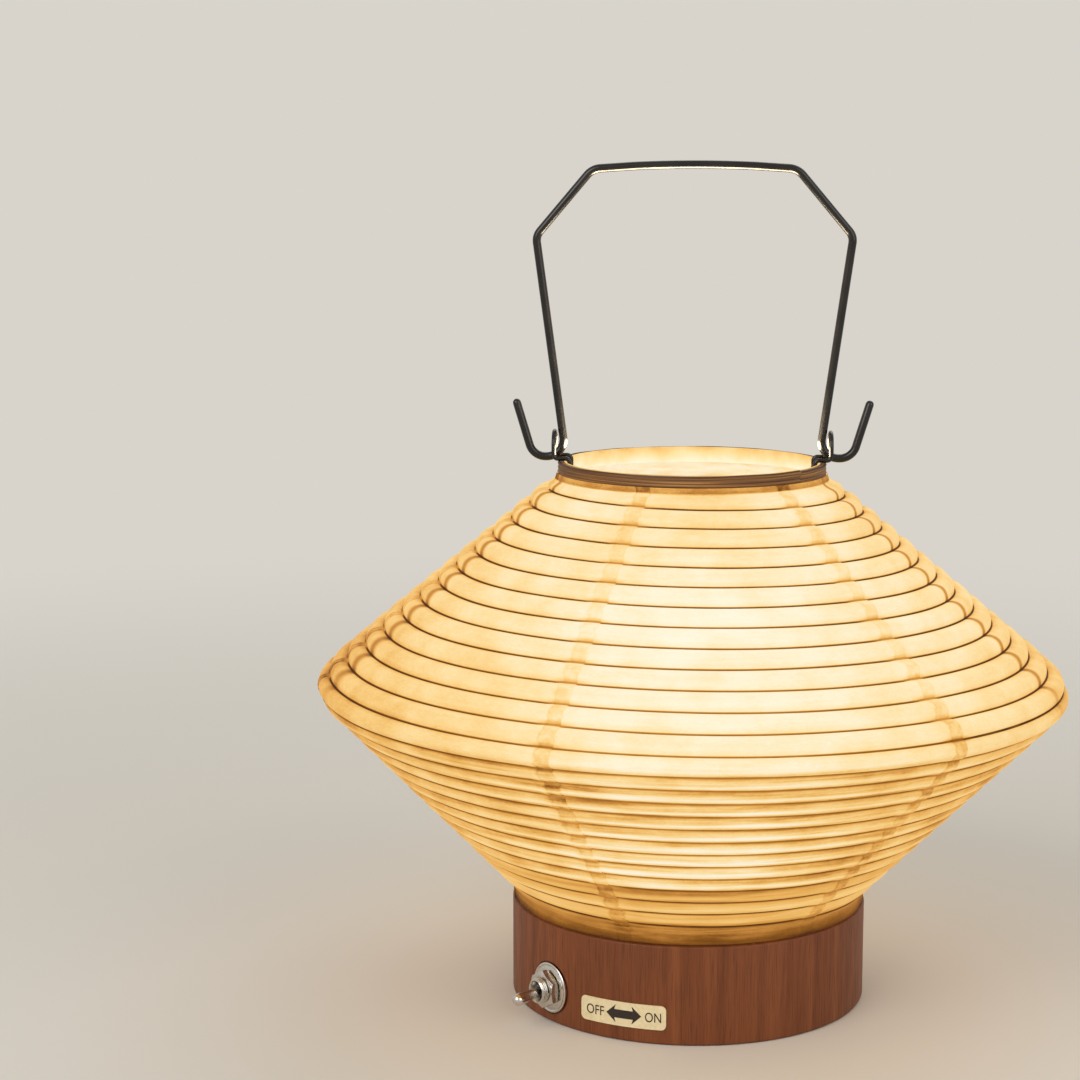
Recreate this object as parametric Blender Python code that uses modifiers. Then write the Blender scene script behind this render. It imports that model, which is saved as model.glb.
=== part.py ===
"""Battery table lamp with a folding paper lantern shade on a turned wooden base.

Metres, +Z up. The origin is the centre of the base's underside, the wire bail lies
in the XZ plane and the front of the lamp, with its switch and label, faces -Y.
An azimuth is counted in degrees from the front, positive to the right.
"""
import math

import bmesh
import bpy
import numpy as np
from mathutils import Matrix, Vector

MM = 0.001
GAP = 0.3 * MM
OVERCUT = 1.0 * MM

# Wooden base
BASE_RADIUS = 43.2 * MM
BASE_HEIGHT = 23.8 * MM
BASE_TOP_CHAMFER = 0.5 * MM
BASE_FOOT_ROUND = 0.8 * MM
SPIGOT_RADIUS = 38.8 * MM
SPIGOT_TOP = 27.3 * MM
CAVITY_RADIUS = 35.0 * MM
CAVITY_CEILING = 18.0 * MM
REBATE_RADIUS = 39.3 * MM
LEDGE_HEIGHT = 3.7 * MM
LID_UNDERSIDE = 0.9 * MM
LID_THICKNESS = 2.5 * MM
LID_SCREW_CIRCLE = 37.1 * MM
LID_SCREW_COUNT = 3
LID_SCREW_TIP = 9.9 * MM
LID_SCREW_SHANK = 0.8 * MM
LID_SCREW_HEAD = 1.7 * MM
LID_SCREW_RIM = 1.3 * MM
LID_SCREW_POINT = 0.7 * MM
SCREW_CLEARANCE = 0.3 * MM
TURNING_STEPS = 48
SCREW_STEPS = 12

# Paper shade, measured on the outside of the paper
SHADE_RADIUS = 90.0 * MM
RIDGE_HEIGHT = 77.6 * MM
RIDGE_ROUND = 4.0 * MM
SHADE_TOP = 128.4 * MM
NECK_RADIUS = 32.9 * MM
NECK_HEIGHT = 126.9 * MM
NECK_ROUND = 0.6 * MM
HEM_RADIUS = 43.0 * MM
HEM_HEIGHT = 27.2 * MM
HEM_BOTTOM = 24.3 * MM
HEM_ROUND = 1.5 * MM
PAPER_THICKNESS = 0.4 * MM
PANEL_COUNT = 6
PANEL_STEPS = 8
PANEL_GAP_DEG = 0.4
FIRST_SEAM_DEG = -80.0

# Spiral rib glued inside the paper, from the mouth down to the hem
RIB_RADIUS = 0.4 * MM
RIB_POINTS_PER_TURN = 24
RIB_START_DEG = -155.0
RIB_START_BELOW_NECK = 1.6 * MM
RIB_END_ABOVE_HEM = 1.6 * MM
RIB_TURNS_UPPER = 12.2
RIB_TURNS_LOWER = 11.8
RIB_LEAST_GAP = 0.4 * MM

# Hoops at the two ends of the shade
MOUTH_OUTER = 32.2 * MM
MOUTH_INNER = 30.7 * MM
MOUTH_TOP = 131.1 * MM
MOUTH_BOTTOM = 127.3 * MM
HOOP_OUTER = 42.0 * MM
HOOP_INNER = 39.2 * MM
HOOP_BOTTOM = 24.2 * MM
HOOP_TOP = 26.9 * MM

# Stays: wire hairpins that stand in the base, with an eye above the mouth
STAY_RADIUS = 0.55 * MM
STAY_X = 29.3 * MM
STAY_HALF_WIDTH = 4.0 * MM
STAY_FOOT = 20.3 * MM
STAY_SOCKET_BOTTOM = 19.5 * MM
STAY_SOCKET_RADIUS = 0.9 * MM
EYE_X = 33.1 * MM
EYE_TOP = 138.0 * MM
EYE_BEND = 3.4 * MM
STAY_BEND = 1.0 * MM
EYE_SHOULDER = MOUTH_TOP + STAY_RADIUS + GAP / 2

# Bail: black wire carrying handle, with its hooks through the eyes
BAIL_WIRE_RADIUS = 1.0 * MM
BAIL_AXIS_HEIGHT = 133.6 * MM
BAIL_TOP = 201.5 * MM
BAIL_TOP_BOW = 1.0 * MM
BAIL_CORNER = (24.2 * MM, 200.5 * MM)
BAIL_SHOULDER = (37.6 * MM, 184.7 * MM)
BAIL_HOOK_INNER = (30.4 * MM, 131.9 * MM)
BAIL_HOOK_OUTER = (38.3 * MM, 131.9 * MM)
BAIL_TIP = (42.5 * MM, 145.8 * MM)
BAIL_HOOK_BEND = 4.0 * MM
BAIL_SHOULDER_BEND = 3.5 * MM
BAIL_CORNER_BEND = 4.5 * MM

# Toggle switch on its own radial axis; each reach is a distance from the lamp's axis
SWITCH_AZIMUTH_DEG = -48.5
SWITCH_HEIGHT = 8.4 * MM
SWITCH_THROW_DEG = 26.0
SWITCH_STEPS = 20
LEVER_PIVOT_REACH = 44.5 * MM
LEVER_LENGTH = 11.6 * MM
LEVER_TIP_RADIUS = 1.45 * MM
LEVER_TIP_ROUND = 1.3 * MM
LEVER_BAT_LENGTH = 3.2 * MM
LEVER_BAT_RADIUS = 1.35 * MM
LEVER_NECK_RADIUS = 0.95 * MM
LEVER_NECK_AT = 2.0 * MM
LEVER_BALL_RADIUS = 1.35 * MM
BUSH_RADIUS = 3.0 * MM
BUSH_BORE = 1.8 * MM
BUSH_MOUTH = 2.4 * MM
BUSH_CHAMFER = 0.3 * MM
BUSH_REAR_REACH = 36.9 * MM
BUSH_FRONT_REACH = 47.6 * MM
BUSH_FLANGE_RADIUS = 3.9 * MM
BUSH_FLANGE = 0.8 * MM
POCKET_REACH = 38.0 * MM
POCKET_INNER_REACH = 24.5 * MM
POCKET_FLOOR = 1.85 * MM
POCKET_WIDTH = 14.6 * MM
POCKET_TOP = 13.2 * MM
SPOT_FACE_REACH = 42.6 * MM
SPOT_FACE_RADIUS = 6.4 * MM
WASHER_REACH = 42.9 * MM
WASHER_THICKNESS = 0.7 * MM
WASHER_RADIUS = 6.0 * MM
WASHER_CHAMFER = 0.15 * MM
NUT_REACH = 43.9 * MM
NUT_THICKNESS = 2.0 * MM
NUT_ACROSS_FLATS = 8.0 * MM
BUSH_CLEARANCE = 0.3 * MM
SWITCH_BODY = (13.2 * MM, 9.7 * MM, 8.0 * MM)
SWITCH_BODY_REACH = 31.75 * MM
TERMINAL = (2.0 * MM, 3.8 * MM, 0.8 * MM)
TERMINAL_REACH = 24.7 * MM
TERMINAL_OFFSET = 2.35 * MM

# Label on the front of the base
LABEL_FROM_DEG = -34.4
LABEL_TO_DEG = -6.2
LABEL_BOTTOM = 3.7 * MM
LABEL_TOP = 9.5 * MM
LABEL_THICKNESS = 0.2 * MM
LABEL_STANDOFF = 0.1 * MM
LABEL_STEPS = 6

# Batteries in a tray, lengthwise across the switch's axis
TRAY = (53.0 * MM, 37.0 * MM, 12.3 * MM)
TRAY_BOTTOM = 5.3 * MM
TRAY_WALL = 1.2 * MM
CELL_COUNT = 3
CELL_RADIUS = 5.15 * MM
CELL_BODY = 43.6 * MM
CELL_NUB = 0.9 * MM
CELL_NUB_RADIUS = 1.9 * MM
CELL_CHAMFER = 0.4 * MM
CELL_STEPS = 20
CELL_SPACING = 11.2 * MM
CELL_HEIGHT = 10.9 * MM
CELL_REAR_X = -20.3 * MM
CONTACT_PLATE = (0.5 * MM, 8.0 * MM, 8.0 * MM)
CONTACT_PLATE_X = 24.75 * MM
SPRING_TURNS = 3
SPRING_POINTS_PER_TURN = 8
SPRING_WIRE_RADIUS = 0.3 * MM
SPRING_WIDE = 3.6 * MM
SPRING_NARROW = 1.8 * MM
SPRING_NEAR_X = -20.95 * MM
SPRING_FAR_X = -24.65 * MM

# Light source on the spigot
BOARD_RADIUS = 17.0 * MM
BOARD_BOTTOM = SPIGOT_TOP + GAP
BOARD_THICKNESS = 1.6 * MM
BOARD_STEPS = 32
BOARD_SCREW_X = 12.5 * MM
BOARD_SCREW_SHANK = 1.0 * MM
BOARD_SCREW_HEAD = 2.1 * MM
BOARD_SCREW_HEAD_RIM = 0.4 * MM
BOARD_SCREW_HEAD_HEIGHT = 1.4 * MM
BOARD_SCREW_TIP = 21.0 * MM
BOARD_SCREW_POINT = 0.5 * MM
EMITTER_RADIUS = 5.0 * MM
EMITTER_HEIGHT = 1.8 * MM
EMITTER_RIM = 0.7 * MM
DOME_RADIUS = 23.6 * MM
DOME_WALL = 1.3 * MM
DOME_SPRING = 38.0 * MM
DOME_TOP = 58.0 * MM
DOME_STEPS = 24
DOME_ARC_STEPS = 5
LEAD_RADIUS = 0.55 * MM
LEAD_HOLE_REACH = 20.6 * MM
LEAD_HOLE_RADIUS = 2.2 * MM

PARTS = "paper_table_lamp"
CUTTERS = "paper_table_lamp_cutters"


def start_scene():
    """Remove every object and make the collections for the parts and the cutters."""
    for obj in list(bpy.data.objects):
        bpy.data.objects.remove(obj, do_unlink=True)
    for name in (PARTS, CUTTERS):
        bpy.context.scene.collection.children.link(bpy.data.collections.new(name))


def finish(name, colour, roughness, metallic=0.0):
    """Return a Principled material; the colour is written as sRGB hex."""
    channels = [int(colour[i:i + 2], 16) / 255.0 for i in (1, 3, 5)]
    linear = [c / 12.92 if c <= 0.04045 else ((c + 0.055) / 1.055) ** 2.4 for c in channels]
    material = bpy.data.materials.new(name)
    material.use_nodes = True
    shader = material.node_tree.nodes["Principled BSDF"]
    shader.inputs["Base Color"].default_value = (*linear, 1.0)
    shader.inputs["Roughness"].default_value = roughness
    shader.inputs["Metallic"].default_value = metallic
    return material


def place(obj, material, parent=None, location=(0, 0, 0), rotation=(0, 0, 0)):
    """Put a part in the parts collection with its finish, its parent and its place."""
    bpy.data.collections[PARTS].objects.link(obj)
    obj.data.materials.append(material)
    obj.parent = parent
    obj.location = location
    obj.rotation_euler = rotation
    return obj


def cutter_group(name):
    """Make the collection of the cutters that shape one part."""
    group = bpy.data.collections.new(name)
    bpy.data.collections[CUTTERS].children.link(group)
    return group


def as_cutter(obj, group, parent=None, location=(0, 0, 0), rotation=(0, 0, 0)):
    """Keep an object as a cutter, which only shapes another part."""
    group.objects.link(obj)
    obj.parent = parent
    obj.location = location
    obj.rotation_euler = rotation
    obj.hide_render = True
    obj.display_type = 'WIRE'
    return obj


def pivot(name, parent=None, location=(0, 0, 0), rotation=(0, 0, 0)):
    """Return an empty that carries the parts on one axis."""
    empty = bpy.data.objects.new(name, None)
    bpy.data.collections[PARTS].objects.link(empty)
    empty.parent = parent
    empty.location = location
    empty.rotation_euler = rotation
    return empty


def shaded(mesh, angle_deg=35.0):
    """Shade a mesh smooth but keep its corners."""
    mesh.shade_smooth()
    mesh.set_sharp_from_angle(angle=math.radians(angle_deg))


def block(name, size):
    """Return a box centred on its origin."""
    mesh = bpy.data.meshes.new(name)
    shape = bmesh.new()
    bmesh.ops.create_cube(shape, size=1.0, matrix=Matrix.Diagonal((*size, 1.0)))
    shape.to_mesh(mesh)
    shape.free()
    return bpy.data.objects.new(name, mesh)


def rod(name, radius, bottom, top, segments):
    """Return a cylinder, or a prism with few segments, along its own Z axis."""
    mesh = bpy.data.meshes.new(name)
    shape = bmesh.new()
    bmesh.ops.create_cone(shape, cap_ends=True, segments=segments, radius1=radius, radius2=radius,
                          depth=top - bottom, matrix=Matrix.Translation((0, 0, (top + bottom) / 2)))
    shape.to_mesh(mesh)
    shape.free()
    shaded(mesh)
    return bpy.data.objects.new(name, mesh)


def turned(name, profile, steps, closed=False, from_deg=None, to_deg=None):
    """Turn a profile of (radius, height) pairs, listed down its outer side, about Z.

    Two azimuths make it part of a turn, as on a panel or a label.
    """
    whole = from_deg is None
    start = 0.0 if whole else math.radians(from_deg)
    mesh = bpy.data.meshes.new(name)
    points = [(radius * math.sin(start), -radius * math.cos(start), height) for radius, height in profile]
    if whole:
        points = [(radius, 0.0, height) for radius, height in profile]
    edges = [(i, i + 1) for i in range(len(points) - 1)]
    if closed:
        edges.append((len(points) - 1, 0))
    mesh.from_pydata(points, edges, [])
    obj = bpy.data.objects.new(name, mesh)
    screw = obj.modifiers.new("Turn", 'SCREW')
    screw.axis = 'Z'
    screw.angle = math.tau if whole else math.radians(to_deg - from_deg)
    screw.steps = steps
    screw.render_steps = steps
    screw.use_merge_vertices = whole
    screw.merge_threshold = 0.001 * MM
    screw.use_smooth_shade = True
    return obj


def thicken(obj, thickness):
    """Give an open surface its thickness, inwards from its outer face."""
    solidify = obj.modifiers.new("Thickness", 'SOLIDIFY')
    solidify.thickness = thickness
    solidify.offset = -1.0
    return obj


def cut(obj, group):
    """Take a group of cutters out of a part."""
    boolean = obj.modifiers.new("Cut", 'BOOLEAN')
    boolean.operation = 'DIFFERENCE'
    boolean.operand_type = 'COLLECTION'
    boolean.collection = group


def wire(name, points, radius, resolution=2):
    """Return a round wire through the points, with capped ends."""
    curve = bpy.data.curves.new(name, 'CURVE')
    curve.dimensions = '3D'
    curve.bevel_depth = radius
    curve.bevel_resolution = resolution
    curve.use_fill_caps = True
    spline = curve.splines.new('POLY')
    spline.points.add(len(points) - 1)
    for target, point in zip(spline.points, points):
        target.co = (*point, 1.0)
    return bpy.data.objects.new(name, curve)


def rounded_path(corners, bends):
    """Return a path whose inner corners are replaced by arcs, each a (radius, steps) pair."""
    corners = [Vector(corner) for corner in corners]
    path = [corners[0]]
    for before, corner, after, (radius, steps) in zip(corners, corners[1:], corners[2:], bends):
        to_before = (before - corner).normalized()
        to_after = (after - corner).normalized()
        half_angle = to_before.angle(to_after) / 2
        middle = corner + (to_before + to_after).normalized() * radius / math.sin(half_angle)
        first = (corner + to_before * radius / math.tan(half_angle) - middle).normalized()
        last = (corner + to_after * radius / math.tan(half_angle) - middle).normalized()
        for step in range(steps + 1):
            path.append(middle + radius * first.slerp(last, step / steps))
    path.append(corners[-1])
    return path


def smooth_path(points, per_span=4):
    """Return points on a smooth curve that passes through the given ones."""
    points = [Vector(point) for point in points]
    padded = [points[0]] + points + [points[-1]]
    path = []
    for before, first, last, after in zip(padded, padded[1:], padded[2:], padded[3:]):
        for step in range(per_span):
            t = step / per_span
            path.append(0.5 * (2 * first + (last - before) * t
                               + (2 * before - 5 * first + 4 * last - after) * t ** 2
                               + (3 * first - before - 3 * last + after) * t ** 3))
    path.append(points[-1])
    return path


def quarter_round(radius, bottom, top, steps):
    """Return a quarter of an ellipse as (radius, height), from the axis at the top down and out."""
    turns = [math.pi / 2 * step / steps for step in range(steps + 1)]
    return [(radius * math.sin(turn), bottom + (top - bottom) * math.cos(turn)) for turn in turns]


def ridge_corner():
    """Return the point where the two straight flanks would meet without the ridge's rounding."""
    upper = Vector((SHADE_RADIUS - NECK_RADIUS, RIDGE_HEIGHT - NECK_HEIGHT)).normalized()
    lower = Vector((SHADE_RADIUS - HEM_RADIUS, RIDGE_HEIGHT - HEM_HEIGHT)).normalized()
    half_angle = upper.angle(lower) / 2
    overshoot = RIDGE_ROUND * (1 / math.sin(half_angle) - 1)
    return (SHADE_RADIUS + overshoot, RIDGE_HEIGHT)


def shade_profile():
    """Return the outside of the paper as (radius, height), from the mouth down to the hem."""
    corners = [(NECK_RADIUS, SHADE_TOP), (NECK_RADIUS, NECK_HEIGHT), ridge_corner(),
               (HEM_RADIUS, HEM_HEIGHT), (HEM_RADIUS, HEM_BOTTOM)]
    flat = [(radius, 0.0, height) for radius, height in corners]
    path = rounded_path(flat, ((NECK_ROUND, 1), (RIDGE_ROUND, 3), (HEM_ROUND, 1)))
    return [(point.x, point.z) for point in path]


def base_parts(wood, lid_finish, steel, seat):
    """Make the hollow base with its sockets and pockets, its lid and the lid's screws."""
    arc = quarter_round(BASE_FOOT_ROUND, 0, BASE_FOOT_ROUND, 2)
    foot_inner = BASE_RADIUS - BASE_FOOT_ROUND
    foot = [(foot_inner + radius, BASE_FOOT_ROUND - height) for radius, height in arc[::-1]]
    drum = turned("base_drum", [
        (0, SPIGOT_TOP), (SPIGOT_RADIUS, SPIGOT_TOP), (SPIGOT_RADIUS, BASE_HEIGHT),
        (BASE_RADIUS - BASE_TOP_CHAMFER, BASE_HEIGHT), (BASE_RADIUS, BASE_HEIGHT - BASE_TOP_CHAMFER),
        *foot, (REBATE_RADIUS, 0), (REBATE_RADIUS, LEDGE_HEIGHT), (CAVITY_RADIUS, LEDGE_HEIGHT),
        (CAVITY_RADIUS, CAVITY_CEILING), (0, CAVITY_CEILING)], TURNING_STEPS)
    place(drum, wood)

    outwards = (math.pi / 2, 0, 0)
    axis_at = (0, 0, SWITCH_HEIGHT)
    group = cutter_group("base_cutters")
    pocket_size = (POCKET_WIDTH, POCKET_REACH - POCKET_INNER_REACH, POCKET_TOP - POCKET_FLOOR)
    pocket_at = (0, -(POCKET_REACH + POCKET_INNER_REACH) / 2, (POCKET_TOP + POCKET_FLOOR) / 2)
    as_cutter(block("switch_pocket", pocket_size), group, seat, pocket_at)
    bush_hole = rod("bush_hole", BUSH_RADIUS + BUSH_CLEARANCE, POCKET_REACH - OVERCUT,
                    SPOT_FACE_REACH + OVERCUT, SWITCH_STEPS)
    as_cutter(bush_hole, group, seat, axis_at, outwards)
    spot_face = rod("spot_face", SPOT_FACE_RADIUS, SPOT_FACE_REACH, BASE_RADIUS + OVERCUT, SWITCH_STEPS)
    as_cutter(spot_face, group, seat, axis_at, outwards)
    top = SPIGOT_TOP + OVERCUT
    lead_hole = rod("lead_hole", LEAD_HOLE_RADIUS, CAVITY_CEILING - OVERCUT, top, SCREW_STEPS)
    as_cutter(lead_hole, group, seat, (0, -LEAD_HOLE_REACH, 0))
    for side in (-1, 1):
        hole = rod(f"board_screw_hole_{side}", BOARD_SCREW_SHANK + SCREW_CLEARANCE,
                   BOARD_SCREW_TIP - BOARD_SCREW_POINT, top, SCREW_STEPS)
        as_cutter(hole, group, seat, (side * BOARD_SCREW_X, 0, 0))
        for end in (-1, 1):
            socket = rod(f"stay_socket_{side}_{end}", STAY_SOCKET_RADIUS,
                         STAY_SOCKET_BOTTOM, top, SCREW_STEPS)
            as_cutter(socket, group, None, (side * STAY_X, end * STAY_HALF_WIDTH, 0))

    lid_group = cutter_group("lid_cutters")
    for index in range(LID_SCREW_COUNT):
        turn = math.tau * (index + 0.5) / LID_SCREW_COUNT
        spot = (LID_SCREW_CIRCLE * math.sin(turn), -LID_SCREW_CIRCLE * math.cos(turn), 0)
        hole = rod(f"lid_screw_hole_{index + 1}", LID_SCREW_SHANK + SCREW_CLEARANCE,
                   LEDGE_HEIGHT - OVERCUT, LID_SCREW_TIP + OVERCUT, SCREW_STEPS)
        as_cutter(hole, group, seat, spot)
        countersink = lid_screw_profile(LEDGE_HEIGHT + OVERCUT, 0.0, 0.0, SCREW_CLEARANCE)
        as_cutter(turned(f"lid_countersink_{index + 1}", countersink, SCREW_STEPS), lid_group, seat, spot)
        profile = lid_screw_profile(LID_SCREW_TIP, LID_SCREW_POINT, LID_UNDERSIDE, 0.0)
        place(turned(f"lid_screw_{index + 1}", profile, SCREW_STEPS), steel, seat, spot)
    cut(drum, group)

    lid = rod("base_lid", REBATE_RADIUS - GAP, LID_UNDERSIDE, LID_UNDERSIDE + LID_THICKNESS, TURNING_STEPS)
    place(lid, lid_finish)
    cut(lid, lid_group)


def lid_screw_profile(tip, point, bottom, clearance):
    """Return the outline of a countersunk screw, or of the wider hole that it sits in."""
    shank = LID_SCREW_SHANK + clearance
    head = LID_SCREW_HEAD + clearance
    rim = LID_SCREW_RIM + clearance / 2
    neck = rim + head - shank
    return [(0, tip), (shank, tip - point), (shank, neck), (head, rim), (head, bottom), (0, bottom)]


def switch_parts(chrome, phenolic, tinned, seat):
    """Make the toggle switch in its pocket, with the lever on a pivot of its own."""
    outwards = (math.pi / 2, 0, 0)
    axis_at = (0, 0, SWITCH_HEIGHT)
    flange_front = BUSH_REAR_REACH + BUSH_FLANGE
    bush = turned("switch_bush", [
        (BUSH_RADIUS - BUSH_CHAMFER, BUSH_FRONT_REACH), (BUSH_RADIUS, BUSH_FRONT_REACH - BUSH_CHAMFER),
        (BUSH_RADIUS, flange_front), (BUSH_FLANGE_RADIUS, flange_front),
        (BUSH_FLANGE_RADIUS, BUSH_REAR_REACH), (BUSH_BORE, BUSH_REAR_REACH),
        (BUSH_BORE, LEVER_PIVOT_REACH), (BUSH_MOUTH, BUSH_FRONT_REACH)], SWITCH_STEPS, closed=True)
    place(bush, chrome, seat, axis_at, outwards)

    hole = BUSH_RADIUS + BUSH_CLEARANCE
    washer_top = WASHER_REACH + WASHER_THICKNESS
    washer = turned("switch_washer", [
        (hole, washer_top), (WASHER_RADIUS - WASHER_CHAMFER, washer_top),
        (WASHER_RADIUS, washer_top - WASHER_CHAMFER), (WASHER_RADIUS, WASHER_REACH), (hole, WASHER_REACH)],
        SWITCH_STEPS, closed=True)
    place(washer, chrome, seat, axis_at, outwards)

    nut_top = NUT_REACH + NUT_THICKNESS
    nut = rod("switch_nut", NUT_ACROSS_FLATS / math.sqrt(3), NUT_REACH, nut_top, 6)
    place(nut, chrome, seat, axis_at, outwards)
    nut_group = cutter_group("nut_cutters")
    nut_hole = rod("nut_hole", hole, NUT_REACH - OVERCUT, nut_top + OVERCUT, SWITCH_STEPS)
    as_cutter(nut_hole, nut_group, seat, axis_at, outwards)
    cut(nut, nut_group)

    place(block("switch_body", SWITCH_BODY), phenolic, seat, (0, -SWITCH_BODY_REACH, SWITCH_HEIGHT))
    for index, side in enumerate((-1, 1)):
        place(block(f"switch_terminal_{index + 1}", TERMINAL), tinned, seat,
              (side * TERMINAL_OFFSET, -TERMINAL_REACH, SWITCH_HEIGHT))

    lever_pivot = pivot("lever_pivot", seat, (0, -LEVER_PIVOT_REACH, SWITCH_HEIGHT),
                        (0, 0, math.radians(SWITCH_THROW_DEG / 2)))
    tip = quarter_round(LEVER_TIP_RADIUS, LEVER_LENGTH - LEVER_TIP_ROUND, LEVER_LENGTH, 3)
    ball = [(radius, -height) for radius, height in quarter_round(LEVER_BALL_RADIUS, 0, LEVER_BALL_RADIUS, 3)]
    lever = turned("switch_lever", tip + [
        (LEVER_BAT_RADIUS, LEVER_LENGTH - LEVER_BAT_LENGTH), (LEVER_NECK_RADIUS, LEVER_NECK_AT),
        (LEVER_BALL_RADIUS, LEVER_BALL_RADIUS / 2)] + ball[::-1], SWITCH_STEPS)
    place(lever, chrome, lever_pivot, (0, 0, 0), outwards)


def battery_parts(tray_finish, jacket, spring_steel, seat):
    """Make the tray, open below, with its cells, contact plates and springs."""
    tray_middle = TRAY_BOTTOM + TRAY[2] / 2
    tray = place(block("battery_tray", TRAY), tray_finish, seat, (0, 0, tray_middle))
    tray_group = cutter_group("tray_cutters")
    hollow = block("tray_hollow", (TRAY[0] - 2 * TRAY_WALL, TRAY[1] - 2 * TRAY_WALL, TRAY[2]))
    as_cutter(hollow, tray_group, seat, (0, 0, tray_middle - TRAY_WALL))
    cut(tray, tray_group)

    lengthwise = (0, math.pi / 2, 0)
    for index in range(CELL_COUNT):
        row = pivot(f"cell_row_{index + 1}", seat, (0, (index - 1) * CELL_SPACING, CELL_HEIGHT),
                    (0, 0, math.pi * (index % 2)))
        cell = turned(f"battery_cell_{index + 1}", [
            (0, CELL_BODY + CELL_NUB), (CELL_NUB_RADIUS, CELL_BODY + CELL_NUB), (CELL_NUB_RADIUS, CELL_BODY),
            (CELL_RADIUS - CELL_CHAMFER, CELL_BODY), (CELL_RADIUS, CELL_BODY - CELL_CHAMFER),
            (CELL_RADIUS, CELL_CHAMFER), (CELL_RADIUS - CELL_CHAMFER, 0), (0, 0)], CELL_STEPS)
        place(cell, jacket, row, (CELL_REAR_X, 0, 0), lengthwise)
        place(block(f"contact_plate_{index + 1}", CONTACT_PLATE), spring_steel, row, (CONTACT_PLATE_X, 0, 0))
        place(wire(f"contact_spring_{index + 1}", spring_path(), SPRING_WIRE_RADIUS, 0), spring_steel, row)


def spring_path():
    """Return the centre line of a conical contact spring along its cell's axis."""
    count = SPRING_TURNS * SPRING_POINTS_PER_TURN
    path = []
    for step in range(count + 1):
        share = step / count
        turn = math.tau * step / SPRING_POINTS_PER_TURN
        radius = SPRING_NARROW + (SPRING_WIDE - SPRING_NARROW) * share
        along = SPRING_NEAR_X + (SPRING_FAR_X - SPRING_NEAR_X) * share
        path.append((along, radius * math.cos(turn), radius * math.sin(turn)))
    return path


def light_parts(board_finish, phosphor, opal, steel, seat):
    """Make the light board with its screws and emitter, and the dome over them."""
    board_top = BOARD_BOTTOM + BOARD_THICKNESS
    board = place(rod("led_board", BOARD_RADIUS, BOARD_BOTTOM, board_top, BOARD_STEPS), board_finish, seat)
    board_group = cutter_group("board_cutters")
    head_bottom = board_top + GAP
    head = quarter_round(BOARD_SCREW_HEAD, head_bottom + BOARD_SCREW_HEAD_RIM,
                         head_bottom + BOARD_SCREW_HEAD_HEIGHT, 2)
    for index, side in enumerate((-1, 1)):
        spot = (side * BOARD_SCREW_X, 0, 0)
        hole = rod(f"board_hole_{index + 1}", BOARD_SCREW_SHANK + SCREW_CLEARANCE,
                   BOARD_BOTTOM - OVERCUT, board_top + OVERCUT, SCREW_STEPS)
        as_cutter(hole, board_group, seat, spot)
        screw = turned(f"board_screw_{index + 1}", head + [
            (BOARD_SCREW_HEAD, head_bottom), (BOARD_SCREW_SHANK, head_bottom),
            (BOARD_SCREW_SHANK, BOARD_SCREW_TIP + BOARD_SCREW_POINT), (0, BOARD_SCREW_TIP)], SCREW_STEPS)
        place(screw, steel, seat, spot)
    cut(board, board_group)

    emitter_bottom = board_top + GAP
    lens = quarter_round(EMITTER_RADIUS, emitter_bottom + EMITTER_RIM, emitter_bottom + EMITTER_HEIGHT, 3)
    profile = lens + [(EMITTER_RADIUS, emitter_bottom), (0, emitter_bottom)]
    place(turned("led_emitter", profile, DOME_STEPS), phosphor)

    rim = SPIGOT_TOP + GAP
    inner_radius = DOME_RADIUS - DOME_WALL
    outer = quarter_round(DOME_RADIUS, DOME_SPRING, DOME_TOP, DOME_ARC_STEPS)
    inner = quarter_round(inner_radius, DOME_SPRING, DOME_TOP - DOME_WALL, DOME_ARC_STEPS)
    profile = outer + [(DOME_RADIUS, rim), (inner_radius, rim)] + inner[::-1]
    place(turned("led_dome", profile, DOME_STEPS), opal)


def lead_parts(red, white, black, seat):
    """Make the leads: cells to switch, and switch and cells to the board through the lead hole."""
    above_board = BOARD_BOTTOM + BOARD_THICKNESS + 2 * LEAD_RADIUS
    hole_x = LEAD_HOLE_RADIUS / 2
    hole_y = -LEAD_HOLE_REACH
    tray_side = -(TRAY[1] / 2 + 2 * GAP)
    terminal_end = -(TERMINAL_REACH - TERMINAL[1] / 2 - GAP)
    rise = [(22 * MM, 0.0), (28.5 * MM, 0.0), (31 * MM, 1.6 * MM), (above_board, 5 * MM)]
    routes = (
        ("lead_cells_to_switch", red, [
            (-10 * MM, tray_side, 12 * MM), (-9 * MM, tray_side - 1.2 * MM, 12 * MM),
            (-5 * MM, terminal_end + 1.6 * MM, 9.6 * MM), (-TERMINAL_OFFSET, terminal_end, SWITCH_HEIGHT)]),
        ("lead_switch_to_board", white, [
            (TERMINAL_OFFSET, terminal_end, SWITCH_HEIGHT), (TERMINAL_OFFSET, hole_y - 0.6 * MM, 10.5 * MM),
            (hole_x, hole_y, 15 * MM)] + [(hole_x, hole_y + inward, height) for height, inward in rise]),
        ("lead_cells_to_board", black, [
            (-5 * MM, tray_side, 14.2 * MM), (-3.2 * MM, tray_side - 1.3 * MM, 14.6 * MM),
            (-hole_x, hole_y, 17 * MM)] + [(-hole_x, hole_y + inward, height) for height, inward in rise]))
    for name, insulation, route in routes:
        place(wire(name, smooth_path(route, 3), LEAD_RADIUS, 1), insulation, seat)


def label_part(sticker):
    """Make the label, which follows the round of the base."""
    radius = BASE_RADIUS + LABEL_STANDOFF + LABEL_THICKNESS
    label = turned("switch_label", [(radius, LABEL_TOP), (radius, LABEL_BOTTOM)], LABEL_STEPS,
                   from_deg=LABEL_FROM_DEG, to_deg=LABEL_TO_DEG)
    place(thicken(label, LABEL_THICKNESS), sticker)


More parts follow.
